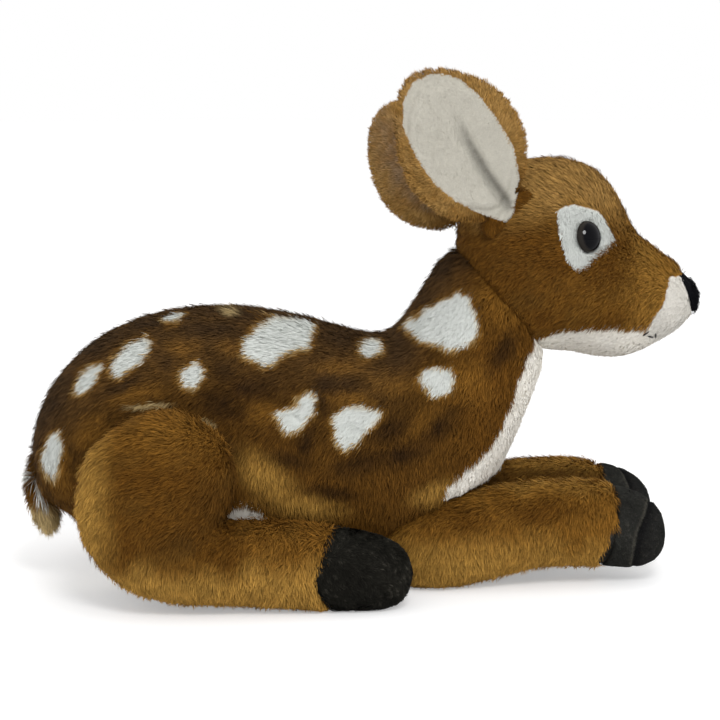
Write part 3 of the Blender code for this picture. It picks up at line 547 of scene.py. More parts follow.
def body_shade(places, seen, tones):
    """Brown with a dark back, tan rims round the spots, a golden lower edge, and painted shade above the
    thigh and between the thigh and the flank.
    """
    wander, fine = wandering(places, BODY_PATCHES, 1, 2)
    back = np.array(BACK_LINE)
    depth = seen[:, 1] - np.interp(seen[:, 0], back[:, 0], back[:, 1])
    front = smooth_step(*CHEST_FRONT, seen[:, 0])
    gold = in_ovals(seen, GOLD_PLACES, 0.0, 1.5) * (1 + 0.8 * wander + 0.8 * fine)
    ridge = (1 - smooth_step(*RIDGE_DEPTH, depth + 30 * wander)) * 0.7
    # The dark tone marks the back and the markings, and paints shade above and beside the thigh
    dark = np.maximum(ridge * (1 - front), in_ovals(seen, DARK_MARKS_AND_SHADE, 0.1, 1.8))
    reach = spot_edge(places, seen)
    return layered(
        places, tones, "deep",
        ("brown", front * 0.8 + smooth_step(*FLANK_DEPTH, depth) * 0.5 + 0.3 * wander),
        ("warm", in_ovals(seen, WARM_PLACES, 0.0, 1.8) * 0.7 + 0.6 * fine + 0.2 * wander),
        ("gold", gold * 0.8),
        ("dark", dark * 0.85 + 0.5 * wander + 0.45 * fine - 0.05),
        ("umber", (1 - smooth_step(*UMBER_DEPTH, depth)) * (1 - front) * 0.1),
        ("warm", (1 - smooth_step(*WARM_RIM, reach)) * 0.8),
        ("fleck", (1 - smooth_step(*PALE_RIM, reach)) * 0.6),
        ("fleck", in_ovals(seen, PALE_FLECKS, 0.2, 1.5) * 0.8),
    )


def spot_shade(places, seen, tones):
    """White that turns tan at a spot's edge."""
    edge = smooth_step(*SPOT_RIM, spot_distance(places, seen))
    return mixed(plain_shade("spot")(places, seen, tones), tones["fleck"], edge * 0.45)


def head_shade(places, seen, tones):
    """Brown with a golden crown, a lighter snout and jaw and a deeper cheek."""
    wander, fine = wandering(places, HEAD_PATCHES, 3, 19)
    crown = 1 - smooth_step(*CROWN, seen[:, 1] + 30 * wander)
    snout = smooth_step(*SNOUT, seen[:, 0])
    behind = 1 - smooth_step(*NAPE, seen[:, 0])
    jaw = in_ovals(seen, JAW_PLACES, 0.3, 1.6)
    cheek = in_ovals(seen, CHEEK_PLACES, 0.2, 1.5)
    return layered(
        places, tones, "brown",
        ("warm", snout * 0.9 + behind * 0.2 + jaw * 0.5 + 0.6 * fine),
        ("gold", crown * 0.85 + snout * 0.3 + 0.25 * wander),
        ("umber", crown * 0.3),
        ("deep", cheek * 0.35 + 0.5 * wander + 0.5 * fine),
    )


def hind_leg_shade(places, seen, tones):
    """Brown with a golden back and foot that are partly painted rim light, a lighter shank and painted shade
    in its folds.
    """
    wander, fine = wandering(places, LEG_PATCHES, 4, 20)
    # The golden back edge and foot are partly the pile's tone and partly painted rim light
    rim = 1 - smooth_step(*THIGH_BACK, seen[:, 0] + 18 * wander)
    top = 1 - smooth_step(*THIGH_TOP, seen[:, 1] + 18 * wander)
    shank = smooth_step(*SHANK_START, seen[:, 0]) * smooth_step(*SHANK_TOP, seen[:, 1])
    low = smooth_step(*SHANK_FOOT, seen[:, 1] + 20 * wander)
    # Painted shade in the folds
    crease = in_ovals(seen, LEG_FOLD_SHADE, 0.2, 1.6)
    return layered(
        places, tones, "brown",
        ("warm", top * 0.9 + shank * 0.8 + 0.8 * fine),
        ("gold", np.maximum(rim, low * 0.95) + 0.2 * wander),
        ("deep", crease * 0.6 + 0.5 * wander + 0.5 * fine - rim),
    )


def foreleg_shade(places, seen, tones):
    """Light brown with golden edges that are partly painted rim light, browner above, and with painted shade
    on the inner side that faces the other leg.
    """
    wander, fine = wandering(places, LEG_PATCHES, 5, 21)
    low = smooth_step(*FORELEG_FOOT, seen[:, 1] + 20 * wander)
    top = 1 - smooth_step(*FORELEG_TOP, seen[:, 1] + 10 * wander)
    upper = in_ovals(seen, FORELEG_BROWN, 0.3, 1.7)
    # Painted shade on the inner side that faces the other leg
    inner = 1 - smooth_step(*INNER_SHADE_REACH, np.abs(places[:, 1]))
    return layered(
        places, tones, "warm",
        ("gold", np.maximum(low * 0.95, top * 0.6) + 0.3 * fine),
        ("brown", upper * 0.8 + 0.6 * wander + 0.3 * fine),
        ("deep", inner * 0.8),
    )


def tail_shade(places, seen, tones):
    """Brown with a pale tip and a white streak."""
    wander = mottle(places, TAIL_PATCH, 7)
    aside = np.abs(line_distance(seen, TAIL_LINE) + 3 * wander)
    return layered(
        places, tones, "brown",
        ("deep", 1 - smooth_step(*TAIL_MIDDLE, seen[:, 1])),
        ("fleck", smooth_step(*TAIL_TIP, seen[:, 1] + 18 * wander) * 0.9),
        ("spot", (1 - smooth_step(*TAIL_STREAK, aside)) * 0.9),
    )


def plain_shade(tone, level=1):
    """Pile of one tone throughout, a little mottled, and scaled by a level: above 1 it paints light, below 1
    it paints shade.
    """

    def shaded(places, seen, tones):
        wander = sum(wandering(places, PLAIN_PATCHES, 8, 9))
        return layered(places, tones, tone) * level * (1 + 0.06 * wander[:, None])

    return shaded


def velour_shade(tone, cleft=False):
    """Dark velour with pale lint, and on a fore hoof a cleft with a paler band beside it and painted shadow
    in it.
    """

    def shaded(places, seen, tones):
        wander, fine = wandering(places, VELOUR_PATCHES, 8, 9)
        lint = smooth_step(0.12, 0.40, fine) * (0.5 + wander)
        colour = layered(places, tones, tone) * (1 + 0.5 * wander[:, None])
        colour = mixed(colour, tones["lint"], lint * 0.5)
        if not cleft:
            return colour
        ahead = line_distance(seen, CLEFT)
        # A paler band beside the cleft, then painted shadow in the cleft, in the nose's black tone
        rim = np.exp(-((ahead + 1.5) / 1.2) ** 2) * 0.35
        shadow = smooth_step(-1, 1, ahead) * (1 - 0.4 * smooth_step(3, 12, ahead))
        return mixed(mixed(colour, tones["lint"], rim), tones["nose"], shadow * 0.75)

    return shaded


def flowing(rows):
    """Combing that turns gently between chosen directions in the side view."""
    rows = np.array(rows)

    def combed(places, seen):
        total = np.zeros((len(places), 3))
        for x, y, forward, upward in rows:
            weight = 1 / ((seen[:, 0] - x) ** 2 + (seen[:, 1] - y) ** 2 + 144) ** 1.5
            total += weight[:, None] * np.array((forward, 0, upward))
        return total

    return combed


def straight(forward, upward):
    """Combing that is the same all over."""

    def combed(places, seen):
        return np.tile((forward, 0.0, upward), (len(places), 1))

    return combed


class EarAxes:
    """An ear's root with the directions along it, across it and out of its cup."""

    def __init__(self, side):
        joint = joint_of["ear_" + side]
        lining = places_of(cad_nodes["ear_lining_" + side].data)
        self.side = side
        self.seat = np.array(joint["pos_m"])
        self.across = unit(np.array(joint["axis"]))
        self.across = self.across * math.copysign(1, self.across[0])
        self.middle = (lining.min(axis=0) + lining.max(axis=0)) / 2
        along = lining.mean(axis=0) - self.seat
        self.along = unit(along - self.across * (along @ self.across))
        face = np.cross(self.across, self.along)
        self.face = face * math.copysign(1, face[1] * SIDES[side])
        self.length = float(((lining - self.seat) @ self.along).max())

    def share(self, places):
        """How far up the ear places lie, from 0 at its root to 1 at its tip."""
        return (places - self.seat) @ self.along / self.length

    def combed(self, places, seen):
        """Outward from the middle of the cup, and a little towards the tip."""
        offset = places - self.middle
        flat = offset - (offset @ self.face)[:, None] * self.face
        return unit(flat) + self.along * 0.5

    def seen(self, places):
        """Where places lie in the side view once this ear is held as the right one is."""
        near = self if self.side == "right" else EarAxes("right")
        offset = places - self.seat
        turned = near.seat + (offset @ self.across)[:, None] * near.across
        turned = turned + (offset @ self.along)[:, None] * near.along
        turned = turned + (offset @ self.face)[:, None] * near.face
        turned[:, 1] = np.minimum(turned[:, 1], 0)
        return seen_at(turned)

    def folded(self, places):
        """How deep in the crease that runs up from the ear's root places lie, from 0 to 1."""
        seen = self.seen(places)
        aside = line_distance(seen, EAR_FOLD)
        strength = smooth_step(*FOLD_START, seen[:, 1]) * (1 - smooth_step(*FOLD_END, seen[:, 1]))
        return strength * np.exp(-(aside / np.where(aside > 0, *FOLD_WIDTHS)) ** 2)

    def widened(self, places):
        """Let the ear out to the width and length that its pile hides on the real one."""
        offset = places - self.middle
        out = smooth_step(0.05, 0.4, self.share(places))
        for axis, let_out in zip((self.across, self.along), EAR_LET_OUT):
            places = places + ((offset @ axis) * let_out * out)[:, None] * axis
        return places

    def coats(self, places, normals, wearer):
        """Line the inside of the cup and leave the rest in pile."""
        inside = (outline_distance(self.seen(places), EAR_LINING) < 1) & (normals @ self.face > 0.1)
        return np.where(inside, 1, 0)

    def back_shade(self, places, seen, tones):
        """Golden round the rim, partly the pile's tone and partly painted rim light, and umber down the
        middle.
        """
        offset = places - self.middle
        wide, tall = EAR_BACK_HALF
        outward = np.hypot(offset @ self.across / wide, offset @ self.along / tall)
        wander, fine = wandering(places, EAR_PATCHES, 6, 22)
        rim = smooth_step(0.5, 1.15, outward + 0.5 * wander)
        return layered(
            places, tones, "umber",
            # Gold round the rim, partly painted rim light
            ("gold", np.maximum(rim, smooth_step(-EAR_EDGE, 0, offset @ self.face)) * 0.62),
            ("warm", 0.16 + 0.8 * fine),
            ("brown", 1 - smooth_step(0.05, 0.35, self.share(places))),
        )

    def lining_shade(self, places, seen, tones):
        """Cream felt with painted shade in the crease."""
        felt = layered(places, tones, "lining") * (1 + 0.06 * mottle(places, PLAIN_PATCHES[1], 9)[:, None])
        # Painted shade along the crease
        return felt * (1 - 0.42 * self.folded(places))[:, None]


@dataclass
class Coat:
    """The pile on some of a cover's panels: how it is coloured, combed and cut."""

    name: str
    shaded: object
    combed: object
    reach: float
    rise: float
    width: float = 1.0
    density: float = 1.0
    sway: float = 1.0
    lap: float = 0.3
    splits: tuple = ()
    slot: str = "brown_pile"
    nodes: tuple = ()


@dataclass
class Cover:
    """A soft cover that stands for some CAD nodes, the body it rides on and the coats that it wears."""

    name: str
    body: str
    nodes: tuple
    coats: tuple
    grain: float
    passes: int
    swell: float
    chooser: object = None
    piece: object = None
    tree: object = None

    def wearer(self, places, normals):
        """The number of the coat that each place wears."""
        found = np.zeros(len(places), np.int32)
        trees = []
        for number, coat in enumerate(self.coats):
            trees += [(number, tree_of(cad_nodes[node].data)) for node in coat.nodes]
        if trees:
            for index, place in enumerate(places.tolist()):
                found[index] = min(trees, key=lambda item: item[1].find_nearest(place)[3])[0]
        return self.chooser(places, normals, found) if self.chooser else found


def body_and_head_plans():
    body_comb = flowing(BODY_FLOW)
    head_comb = flowing(HEAD_FLOW)
    # Painted light and shade: the white of the chest, belly and chin is painted lighter than its tone, and
    # the white of the muzzle and eye patches darker
    panel = plain_shade("panel", 1.05)
    muzzle = plain_shade("panel", 0.84)
    patch = plain_shade("spot", 0.84)
    white = {"slot": "white_pile", "sway": 0.5}
    body_coat = {"shaded": body_shade, "combed": body_comb, "reach": 1, "rise": 1, "splits": BODY_SPLITS}
    head_coat = {"shaded": head_shade, "combed": head_comb, "reach": 0.8, "rise": 0.85, "lap": 0.9}
    patches = ("eye_patch_right", "eye_patch_left")
    return [
        Cover(
            "body_cover", "body",
            ("body_panel_right", "body_panel_left", "chest_panel", "belly_panel", "body_stuffing"),
            (
                Coat("body_pile_right", nodes=("body_panel_right",), **body_coat),
                Coat("body_pile_left", nodes=("body_panel_left",), **body_coat),
                Coat("chest_pile", panel, straight(-0.3, -1), 0.5, 0.5, nodes=("chest_panel",), **white),
                Coat("belly_pile", panel, straight(-1, -0.2), 0.5, 0.5, density=0.5,
                     nodes=("belly_panel",), **white),
                Coat("spot_pile", spot_shade, body_comb, 0.9, 0.9, width=0.8, **white),
            ),
            grain=1.0, passes=8, swell=-0.5 * MM, chooser=body_coats,
        ),
        Cover(
            "head_cover", "head",
            ("head_panel_right", "head_panel_left", "muzzle_panel", "chin_panel", *patches, "head_stuffing"),
            (
                Coat("head_pile_right", nodes=("head_panel_right",), **head_coat),
                Coat("head_pile_left", nodes=("head_panel_left",), **head_coat),
                Coat("muzzle_pile", muzzle, straight(-0.6, -0.8), 0.36, 0.36,
                     nodes=("muzzle_panel",), **white),
                Coat("chin_pile", panel, straight(-0.9, -0.3), 0.36, 0.36, nodes=("chin_panel",), **white),
                Coat("eye_patch_pile", patch, straight(-0.4, -0.9), 0.42, 0.46, nodes=patches, **white),
                Coat("bare_face", None, None, 0, 0, density=0, nodes=("eye_right", "eye_left", "nose")),
            ),
            grain=0.8, passes=7, swell=-0.2 * MM, chooser=head_coats,
        ),
    ]


def leg_and_ear_plans(side):
    hind = "hind_leg_" + side
    hind_hoof = "hind_hoof_" + side
    fore = "foreleg_" + side
    fore_hoof = "fore_hoof_" + side
    ear = "ear_" + side
    axes = EarAxes(side)
    leg = {"grain": 1.0, "passes": 8, "swell": -0.2 * MM}
    velour = {"combed": straight(0.4, -0.8), "reach": 0.2, "rise": 0.22, "sway": 1.5, "slot": "black_velour"}
    return [
        Cover(
            hind + "_cover", hind, ("hind_leg_cover_" + side, "hind_leg_stuffing_" + side),
            (Coat(hind + "_pile", hind_leg_shade, flowing(HIND_LEG_FLOW), 1, 1, splits=HIND_LEG_SPLITS,
                  slot="tan_pile"),), **leg,
        ),
        Cover(
            hind_hoof + "_cover", hind, (hind_hoof,),
            (Coat(hind_hoof + "_pile", velour_shade("hoof"), straight(0.5, -0.7), 0.4, 0.5, sway=3.5,
                  slot="black_velour"),),
            grain=0.5, passes=6, swell=0.3 * MM,
        ),
        Cover(
            fore + "_cover", fore, ("foreleg_cover_" + side, "foreleg_stuffing_" + side),
            (
                Coat(fore + "_pile", foreleg_shade, flowing(FORELEG_FLOW), 0.95, 1, splits=FORELEG_SPLITS,
                     slot="tan_pile"),
                Coat(fore + "_heel_pile", velour_shade("fore_hoof"), **velour),
            ),
            chooser=foreleg_coats, **leg,
        ),
        Cover(
            fore_hoof + "_cover", fore, (fore_hoof,),
            (Coat(fore_hoof + "_pile", velour_shade("fore_hoof", cleft=True), **velour),),
            grain=0.4, passes=5, swell=0.2 * MM,
        ),
        Cover(
            ear + "_cover", ear, ("ear_back_" + side, "ear_lining_" + side),
            (
                Coat(ear + "_pile", axes.back_shade, axes.combed, 0.55, 0.6, 0.75, 1.25, 0.6,
                     slot="tan_pile"),
                Coat(ear + "_lining_pile", axes.lining_shade, axes.combed, 0.2, 0.16, slot="white_pile"),
            ),
            grain=0.5, passes=4, swell=0.2 * MM, chooser=axes.coats,
        ),
    ]


def cover_plans():
    """Every cover with its coats. Reach, rise, width and density are shares of the fawn's own."""
    plans = body_and_head_plans()
    for side in SIDES:
        plans += leg_and_ear_plans(side)
    tail = Coat("tail_pile", tail_shade, straight(0.1, -1), 1.6, 1.3, sway=3.2)
    nose = Coat("nose_pile", plain_shade("nose"), straight(0.2, -1), 0.4, 0.6, sway=2, slot="black_velour")
    plans.append(Cover("tail_cover", "tail", ("tail_top", "tail_underside"), (tail,), 0.5, 5, -0.4 * MM))
    plans.append(Cover("nose_cover", "head", ("nose",), (nose,), 0.4, 4, -0.4 * MM))
    return plans


def largest_island(shape):
    """Delete all of a bmesh but the connected part that reaches furthest."""
    unseen = set(shape.verts)
    best = (-1.0, set())
    while unseen:
        start = unseen.pop()
        island = {start}
        edge = [start]
        while edge:
            vertex = edge.pop()
            for link in vertex.link_edges:
                other = link.other_vert(vertex)
                if other in unseen:
                    unseen.remove(other)
                    island.add(other)
                    edge.append(other)
        low = Vector([min(v.co[axis] for v in island) for axis in range(3)])
        high = Vector([max(v.co[axis] for v in island) for axis in range(3)])
        best = max(best, ((high - low).length, island), key=lambda found: found[0])
    bmesh.ops.delete(shape, geom=[v for v in shape.verts if v not in best[1]], context="VERTS")


def sewn_cover(name, nodes, grain, passes, swell):
    """One closed, soft cover over CAD nodes: their copies fused at a grain, smoothed and swollen."""
    shape = bmesh.new()
    for node in nodes:
        shape.from_mesh(cad_nodes[node].data)
    bmesh.ops.remove_doubles(shape, verts=shape.verts, dist=HAIRLINE)
    piece = new_piece(name, mesh_of(shape, name))
    piece.data.materials.clear()
    fuse = piece.modifiers.new("fuse", "REMESH")
    fuse.mode = "VOXEL"
    fuse.voxel_size = grain
    bake_modifiers(piece)
    shape = bmesh.new()
    shape.from_mesh(piece.data)
    largest_island(shape)
    for _ in range(passes):
        bmesh.ops.smooth_vert(
            shape, verts=shape.verts, factor=0.5, use_axis_x=True, use_axis_y=True, use_axis_z=True
        )
    shape.normal_update()
    for vertex in shape.verts:
        vertex.co += vertex.normal * swell
        vertex.co.z = max(vertex.co.z, 0.0)
    shape.to_mesh(piece.data)
    shape.free()
    piece.data.shade_smooth()
    return piece


def rounded_neck(places):
    """Draw in the rim of the neck's top, so that the head's pile closes over the seam."""
    joint = joint_of["head"]
    axis = unit(np.array(joint["axis"]))
    offset = places - np.array(joint["pos_m"])
    height = offset @ axis
    out = offset - height[:, None] * axis
    near = (np.linalg.norm(offset, axis=1) < NECK_REACH) & (places[:, 2] > NECK_FOOT)
    pull = smooth_step(-NECK_RIM, 0, height) * near * NECK_PULL
    return places - unit(out) * pull[:, None]


def lapped_head(places):
    """Carry the head's foot a little down over the neck, as the pile does at their seam."""
    joint = joint_of["head"]
    axis = unit(np.array(joint["axis"]))
    height = (places - np.array(joint["pos_m"])) @ axis
    lap = 1 - smooth_step(0, LAP_HEIGHT, height)
    return places - axis * (lap * LAP_FALL)[:, None]


def rounded_haunch(places):
    """Fill out the back of the thigh."""
    seen = seen_at(places)
    back = 1 - smooth_step(*HAUNCH_BACK, seen[:, 0])
    level = smooth_step(*HAUNCH_TOP, seen[:, 1]) * (1 - smooth_step(*HAUNCH_FOOT, seen[:, 1]))
    moved = places.copy()
    moved[:, 0] -= back * level * HAUNCH_FILL
    return moved


def shaped(cover, look, places, normals):
    """A cover's places with its own folds, laps and clefts put in."""
    if cover.name.startswith("ear_"):
        axes = EarAxes(cover.body.removeprefix("ear_"))
        places = axes.widened(places)
        return places - axes.face * (axes.folded(places) * look.fold_depth)[:, None]
    if cover.name.startswith("fore_hoof"):
        ahead = line_distance(seen_at(places), CLEFT)
        groove = np.exp(-((ahead - CLEFT_MIDDLE) / CLEFT_WIDTH) ** 2)
        return places - normals * (groove * CLEFT_DEPTH)[:, None]
    if cover.name.startswith("hind_leg"):
        return rounded_haunch(places)
    if cover.name == "body_cover":
        return rounded_neck(places)
    if cover.name == "head_cover":
        return lapped_head(places)
    if cover.name == "tail_cover":
        top = 1 - smooth_step(*TAIL_ROOT, seen_at(places)[:, 1])
        return places + top[:, None] * np.array((TAIL_SHIFT, 0, 0))
    if cover.name == "nose_cover":
        middle = places.mean(axis=0)
        places = middle + (places - middle) * np.array(NOSE_SHARES)
        return places + normals * (mottle(places, NOSE_CURL, 23) * NOSE_CURL_DEPTH)[:, None]
    return places


def write_places(mesh, places):
    mesh.vertices.foreach_set("co", places.astype(np.float32).ravel())


def write_vectors(mesh, name, values, kind="FLOAT_VECTOR"):
    made = mesh.attributes.new(name, kind, "POINT")
    key = "color" if kind == "FLOAT_COLOR" else "vector"
    made.data.foreach_set(key, np.ascontiguousarray(values, np.float32).ravel())


def write_colours(mesh, colours):
    opaque = np.ones((len(colours), 1))
    write_vectors(mesh, "pile", np.concatenate((np.clip(colours, 0, 1), opaque), 1), "FLOAT_COLOR")


def shaded_by(nodes, links, shader, measure, low, high):
    """Colour a shader as the vertices say, scaled from low to high by a measure."""
    colour = add_node(nodes, "ShaderNodeAttribute", attribute_name="pile")
    span = add_node(nodes, "ShaderNodeMapRange", {"To Min": low, "To Max": high})
    scaled = add_node(nodes, "ShaderNodeVectorMath", operation="SCALE")
    links.new(measure.outputs["Fac"], span.inputs["Value"])
    links.new(colour.outputs["Color"], scaled.inputs[0])
    links.new(span.outputs[0], scaled.inputs["Scale"])
    links.new(scaled.outputs[0], shader.inputs["Base Color"])


def cover_material(name, roughness, depth, grain, strength):
    """The woven ground under a pile, in the colour written on its vertices."""
    made, shader, nodes, links = new_material(name, roughness, 0.05)
    where = nodes.new("ShaderNodeTexCoord")
    nap = add_node(nodes, "ShaderNodeTexNoise", {"Scale": grain, "Detail": 3})
    bump = add_node(nodes, "ShaderNodeBump", {"Strength": strength, "Distance": NAP_RELIEF})
    links.new(where.outputs["Object"], nap.inputs["Vector"])
    shaded_by(nodes, links, shader, nap, depth, 1.1)
    links.new(nap.outputs["Fac"], bump.inputs["Height"])
    links.new(bump.outputs[0], shader.inputs["Normal"])
    return made


def pile_material(name, root, tip, gloss):
    """Pile in the colour that each strand carries, darker at the root and lighter at the tip."""
    made, shader, nodes, links = new_material(name, 0.85, gloss)
    along = add_node(nodes, "ShaderNodeAttribute", attribute_name="along")
    shaded_by(nodes, links, shader, along, root, tip)
    return made


def strand_shape():
    """One strand, a unit long, wide and high: a slim kite that is bowed over."""
    shape = bmesh.new()
    along = shape.verts.layers.float.new("along")
    corners = []
    for place in ((0, 0, 0), (0.5, -0.5, 0.72), (0.5, 0.5, 0.72), (1, 0, 0.95)):
        vertex = shape.verts.new(place)
        vertex[along] = place[0]
        corners.append(vertex)
    root, right, left, tip = corners
    shape.faces.new((root, right, left))
    shape.faces.new((right, tip, left))
    return bpy.data.objects.new("strand", mesh_of(shape, "strand"))


def planting(strand):
    """Geometry nodes that plant a strand on each point, as the point's attributes say."""
    group = bpy.data.node_groups.new("planting", "GeometryNodeTree")
    for way in ("INPUT", "OUTPUT"):
        group.interface.new_socket("Geometry", in_out=way, socket_type="NodeSocketGeometry")
    nodes = group.nodes
    links = group.links
    start = nodes.new("NodeGroupInput")
    end = nodes.new("NodeGroupOutput")
    source = add_node(nodes, "GeometryNodeObjectInfo", {"Object": strand})
    plant = nodes.new("GeometryNodeInstanceOnPoints")
    turn = add_node(nodes, "FunctionNodeAxesToRotation", primary_axis="Z", secondary_axis="X")
    real = nodes.new("GeometryNodeRealizeInstances")
    light = add_node(nodes, "GeometryNodeSetMeshNormal", mode="FREE", domain="POINT")
    fed = {
        "upright": turn.inputs[0],
        "combed": turn.inputs[1],
        "measure": plant.inputs["Scale"],
        "ground": light.inputs["Custom Normal"],
    }
    for name, socket in fed.items():
        read = add_node(nodes, "GeometryNodeInputNamedAttribute", {"Name": name}, data_type="FLOAT_VECTOR")
        links.new(read.outputs["Attribute"], socket)
    links.new(start.outputs[0], plant.inputs["Points"])
    links.new(source.outputs["Geometry"], plant.inputs["Instance"])
    links.new(turn.outputs[0], plant.inputs["Rotation"])
    links.new(plant.outputs[0], real.inputs[0])
    links.new(real.outputs[0], light.inputs["Mesh"])
    links.new(light.outputs[0], end.inputs[0])
    return group


def scattered(mesh, density, random):
    """Random roots on a mesh, so many to a square millimetre, with the surface's direction at each."""
    mesh.calc_loop_triangles()
    count = len(mesh.loop_triangles)
    corners = np.empty(count * 3, np.int32)
    areas = np.empty(count, np.float32)
    mesh.loop_triangles.foreach_get("vertices", corners)
    mesh.loop_triangles.foreach_get("area", areas)
    corners = corners.reshape(-1, 3)
    ends = np.cumsum(areas, dtype=float)
    wanted = int(ends[-1] / MM ** 2 * density)
    steps = (np.arange(wanted) + random.random(wanted)) / wanted * ends[-1]
    chosen = corners[np.minimum(np.searchsorted(ends, steps), count - 1)]
    first = np.sqrt(random.random(wanted))
    second = random.random(wanted)
    weights = np.stack((1 - first, first * (1 - second), first * second), 1)[:, :, None]
    places = (places_of(mesh)[chosen] * weights).sum(1)
    return places, unit((directions_of(mesh)[chosen] * weights).sum(1))


def room_above(places, normals, neighbours, clear, near):
    """Which roots have room above them, and how close each lies to a neighbouring cover, from 0 to 1."""
    open_air = np.ones(len(places), bool)
    closeness = np.zeros(len(places))
    for tree, low, high in neighbours:
        inside = ((places > low - near) & (places < high + near)).all(axis=1) & open_air
        for index in np.nonzero(inside)[0]:
            place = Vector(places[index])
            normal = Vector(normals[index])
            if tree.ray_cast(place - normal * MM, normal, clear + MM)[0] is not None:
                open_air[index] = False
                continue
            distance = tree.find_nearest(place, near)[3]
            if distance is not None:
                closeness[index] = max(closeness[index], 1 - distance / near)
    return open_air, closeness


def lay_pile(name, coat, look, tones, places, normals, closeness, random, group):
    """Grow a coat's strands on its roots and return them as one piece."""
    count = len(places)
    seen = seen_at(places)
    sway = np.stack([mottle(places, SWAY_PATCH, seed) for seed in (11, 12, 13)], 1)
    drift = np.stack([mottle(places, DRIFT_PATCH, seed) for seed in (14, 15, 16)], 1)
    combed = unit(coat.combed(places, seen))
    combed = combed + (sway * 0.7 + drift * 0.5) * coat.sway + random.normal(0, 0.16, (count, 3))
    combed = unit(combed - normals * (combed * normals).sum(1, keepdims=True))
    aside = np.cross(normals, combed)
    roll = np.radians(random.normal(0, 28, count))
    upright = normals * np.cos(roll)[:, None] + aside * np.sin(roll)[:, None]
    tall = 1 + 0.35 * mottle(places, TALL_PATCH, 17)
    stray = np.where((random.random(count) < 0.12) & (closeness == 0), 1.7, 1.0)
    reach = look.strand_reach * coat.reach * random.uniform(0.7, 1.25, count) * (tall + coat.lap * closeness)
    rise = look.strand_rise * coat.rise * random.uniform(0.6, 1.2, count) * (tall + 0.2 * closeness) * stray
    width = look.strand_width * coat.width * random.uniform(0.7, 1.2, count)
    mesh = bpy.data.meshes.new(name)
    mesh.vertices.add(count)
    write_places(mesh, places)
    white = coat.slot == "white_pile"
    lit = normals if white else unit(normals + upright * 0.35 - combed * 0.15)
    planted = {
        "upright": upright, "combed": combed, "measure": np.stack((reach, width, rise), 1), "ground": lit,
    }
    for key, values in planted.items():
        write_vectors(mesh, key, values)
    colours = coat.shaded(places, seen_at(places + combed * reach[:, None] * 0.4), tones)
    streak = 0.42 * mottle(places, STREAK_PATCH, 18) + np.clip(random.normal(0, 0.2, count), -0.5, 0.6)
    write_colours(mesh, colours * (1 + streak * (0.12 if white else 1))[:, None])
    piece = new_piece(name, mesh)
    grow = piece.modifiers.new("grow", "NODES")
    grow.node_group = group
    bake_modifiers(piece)
    grown = places_of(piece.data)
    grown[:, 2] = np.maximum(grown[:, 2], FLOOR_GAP)
    write_places(piece.data, grown)
    for used in planted:
        if used in piece.data.attributes:
            piece.data.attributes.remove(piece.data.attributes[used])
    piece.data.update()
    return piece


def length_property(name, description, default):
    return FloatProperty(name=name, description=description, default=default, unit="LENGTH")


def tone_property(name, description, *levels):
    return FloatVectorProperty(name=name, description=description, default=shade(*levels), subtype="COLOR")


class FawnLook(bpy.types.PropertyGroup):
    strand_reach: length_property("Strand reach", "How far a strand lies along the coat", 4.6 * MM)
    strand_rise: length_property("Strand rise", "How high a strand stands off the coat", 2.0 * MM)
    strand_width: length_property("Strand width", "Width of a strand at its root", 0.38 * MM)
    strands_per_mm2: FloatProperty(
        name="Strands", description="Strands to a square millimetre of the coat", default=4.4
    )
    cover_grain: length_property("Cover grain", "Size of a face of the body's cover", 1.9 * MM)
    fold_depth: length_property("Ear fold", "Depth of the crease up from an ear's root", 3.2 * MM)
    eye_segments: IntProperty(name="Eye segments", description="Segments round an eye", default=64)
    pile_seed: IntProperty(name="Seed", description="Seed of the pile's random draw", default=7)
    dark: tone_property("Dark", "Darkest markings of the coat", 50, 33, 15)
    deep: tone_property("Deep brown", "Brown of the back", 80, 54, 20)
    brown: tone_property("Brown", "Brown of the thighs, neck and cheeks", 101, 66, 21)
    warm: tone_property("Warm brown", "Lighter brown between the markings", 132, 91, 34)
    # Gold is partly the pile's own tone and partly painted rim light on the legs' and ears' edges
    gold: tone_property("Gold", "Golden lower edges and crown", 179, 137, 65)
    umber: tone_property("Umber", "Middle of the ears' backs", 136, 111, 83)
    fleck: tone_property("Fleck", "Pale flecks and the tail's tip", 196, 172, 122)
    spot: tone_property("Spots", "White of the spots", 228, 231, 226)
    panel: tone_property("Panels", "White of the chest, belly, face and chin", 244, 240, 231)
    lining: tone_property("Ear lining", "Cream of the ears' linings", 193, 189, 177)
    hoof: tone_property("Hind hooves", "Velour of the hind hooves", 30, 29, 25)
    fore_hoof: tone_property("Fore hooves", "Velour of the fore hooves", 46, 46, 43)
    lint: tone_property("Lint", "Pale lint on the hooves", 92, 88, 78)
    nose: tone_property("Nose", "Pile of the nose", 14, 14, 17)


TONES = (
    "dark", "deep", "brown", "warm", "gold", "umber", "fleck", "spot", "panel", "lining", "hoof", "fore_hoof",
    "lint", "nose",
)
covers = {}
pile_tools = {}


def tones_of(look):
    return {tone: np.array(getattr(look, tone)) for tone in TONES}


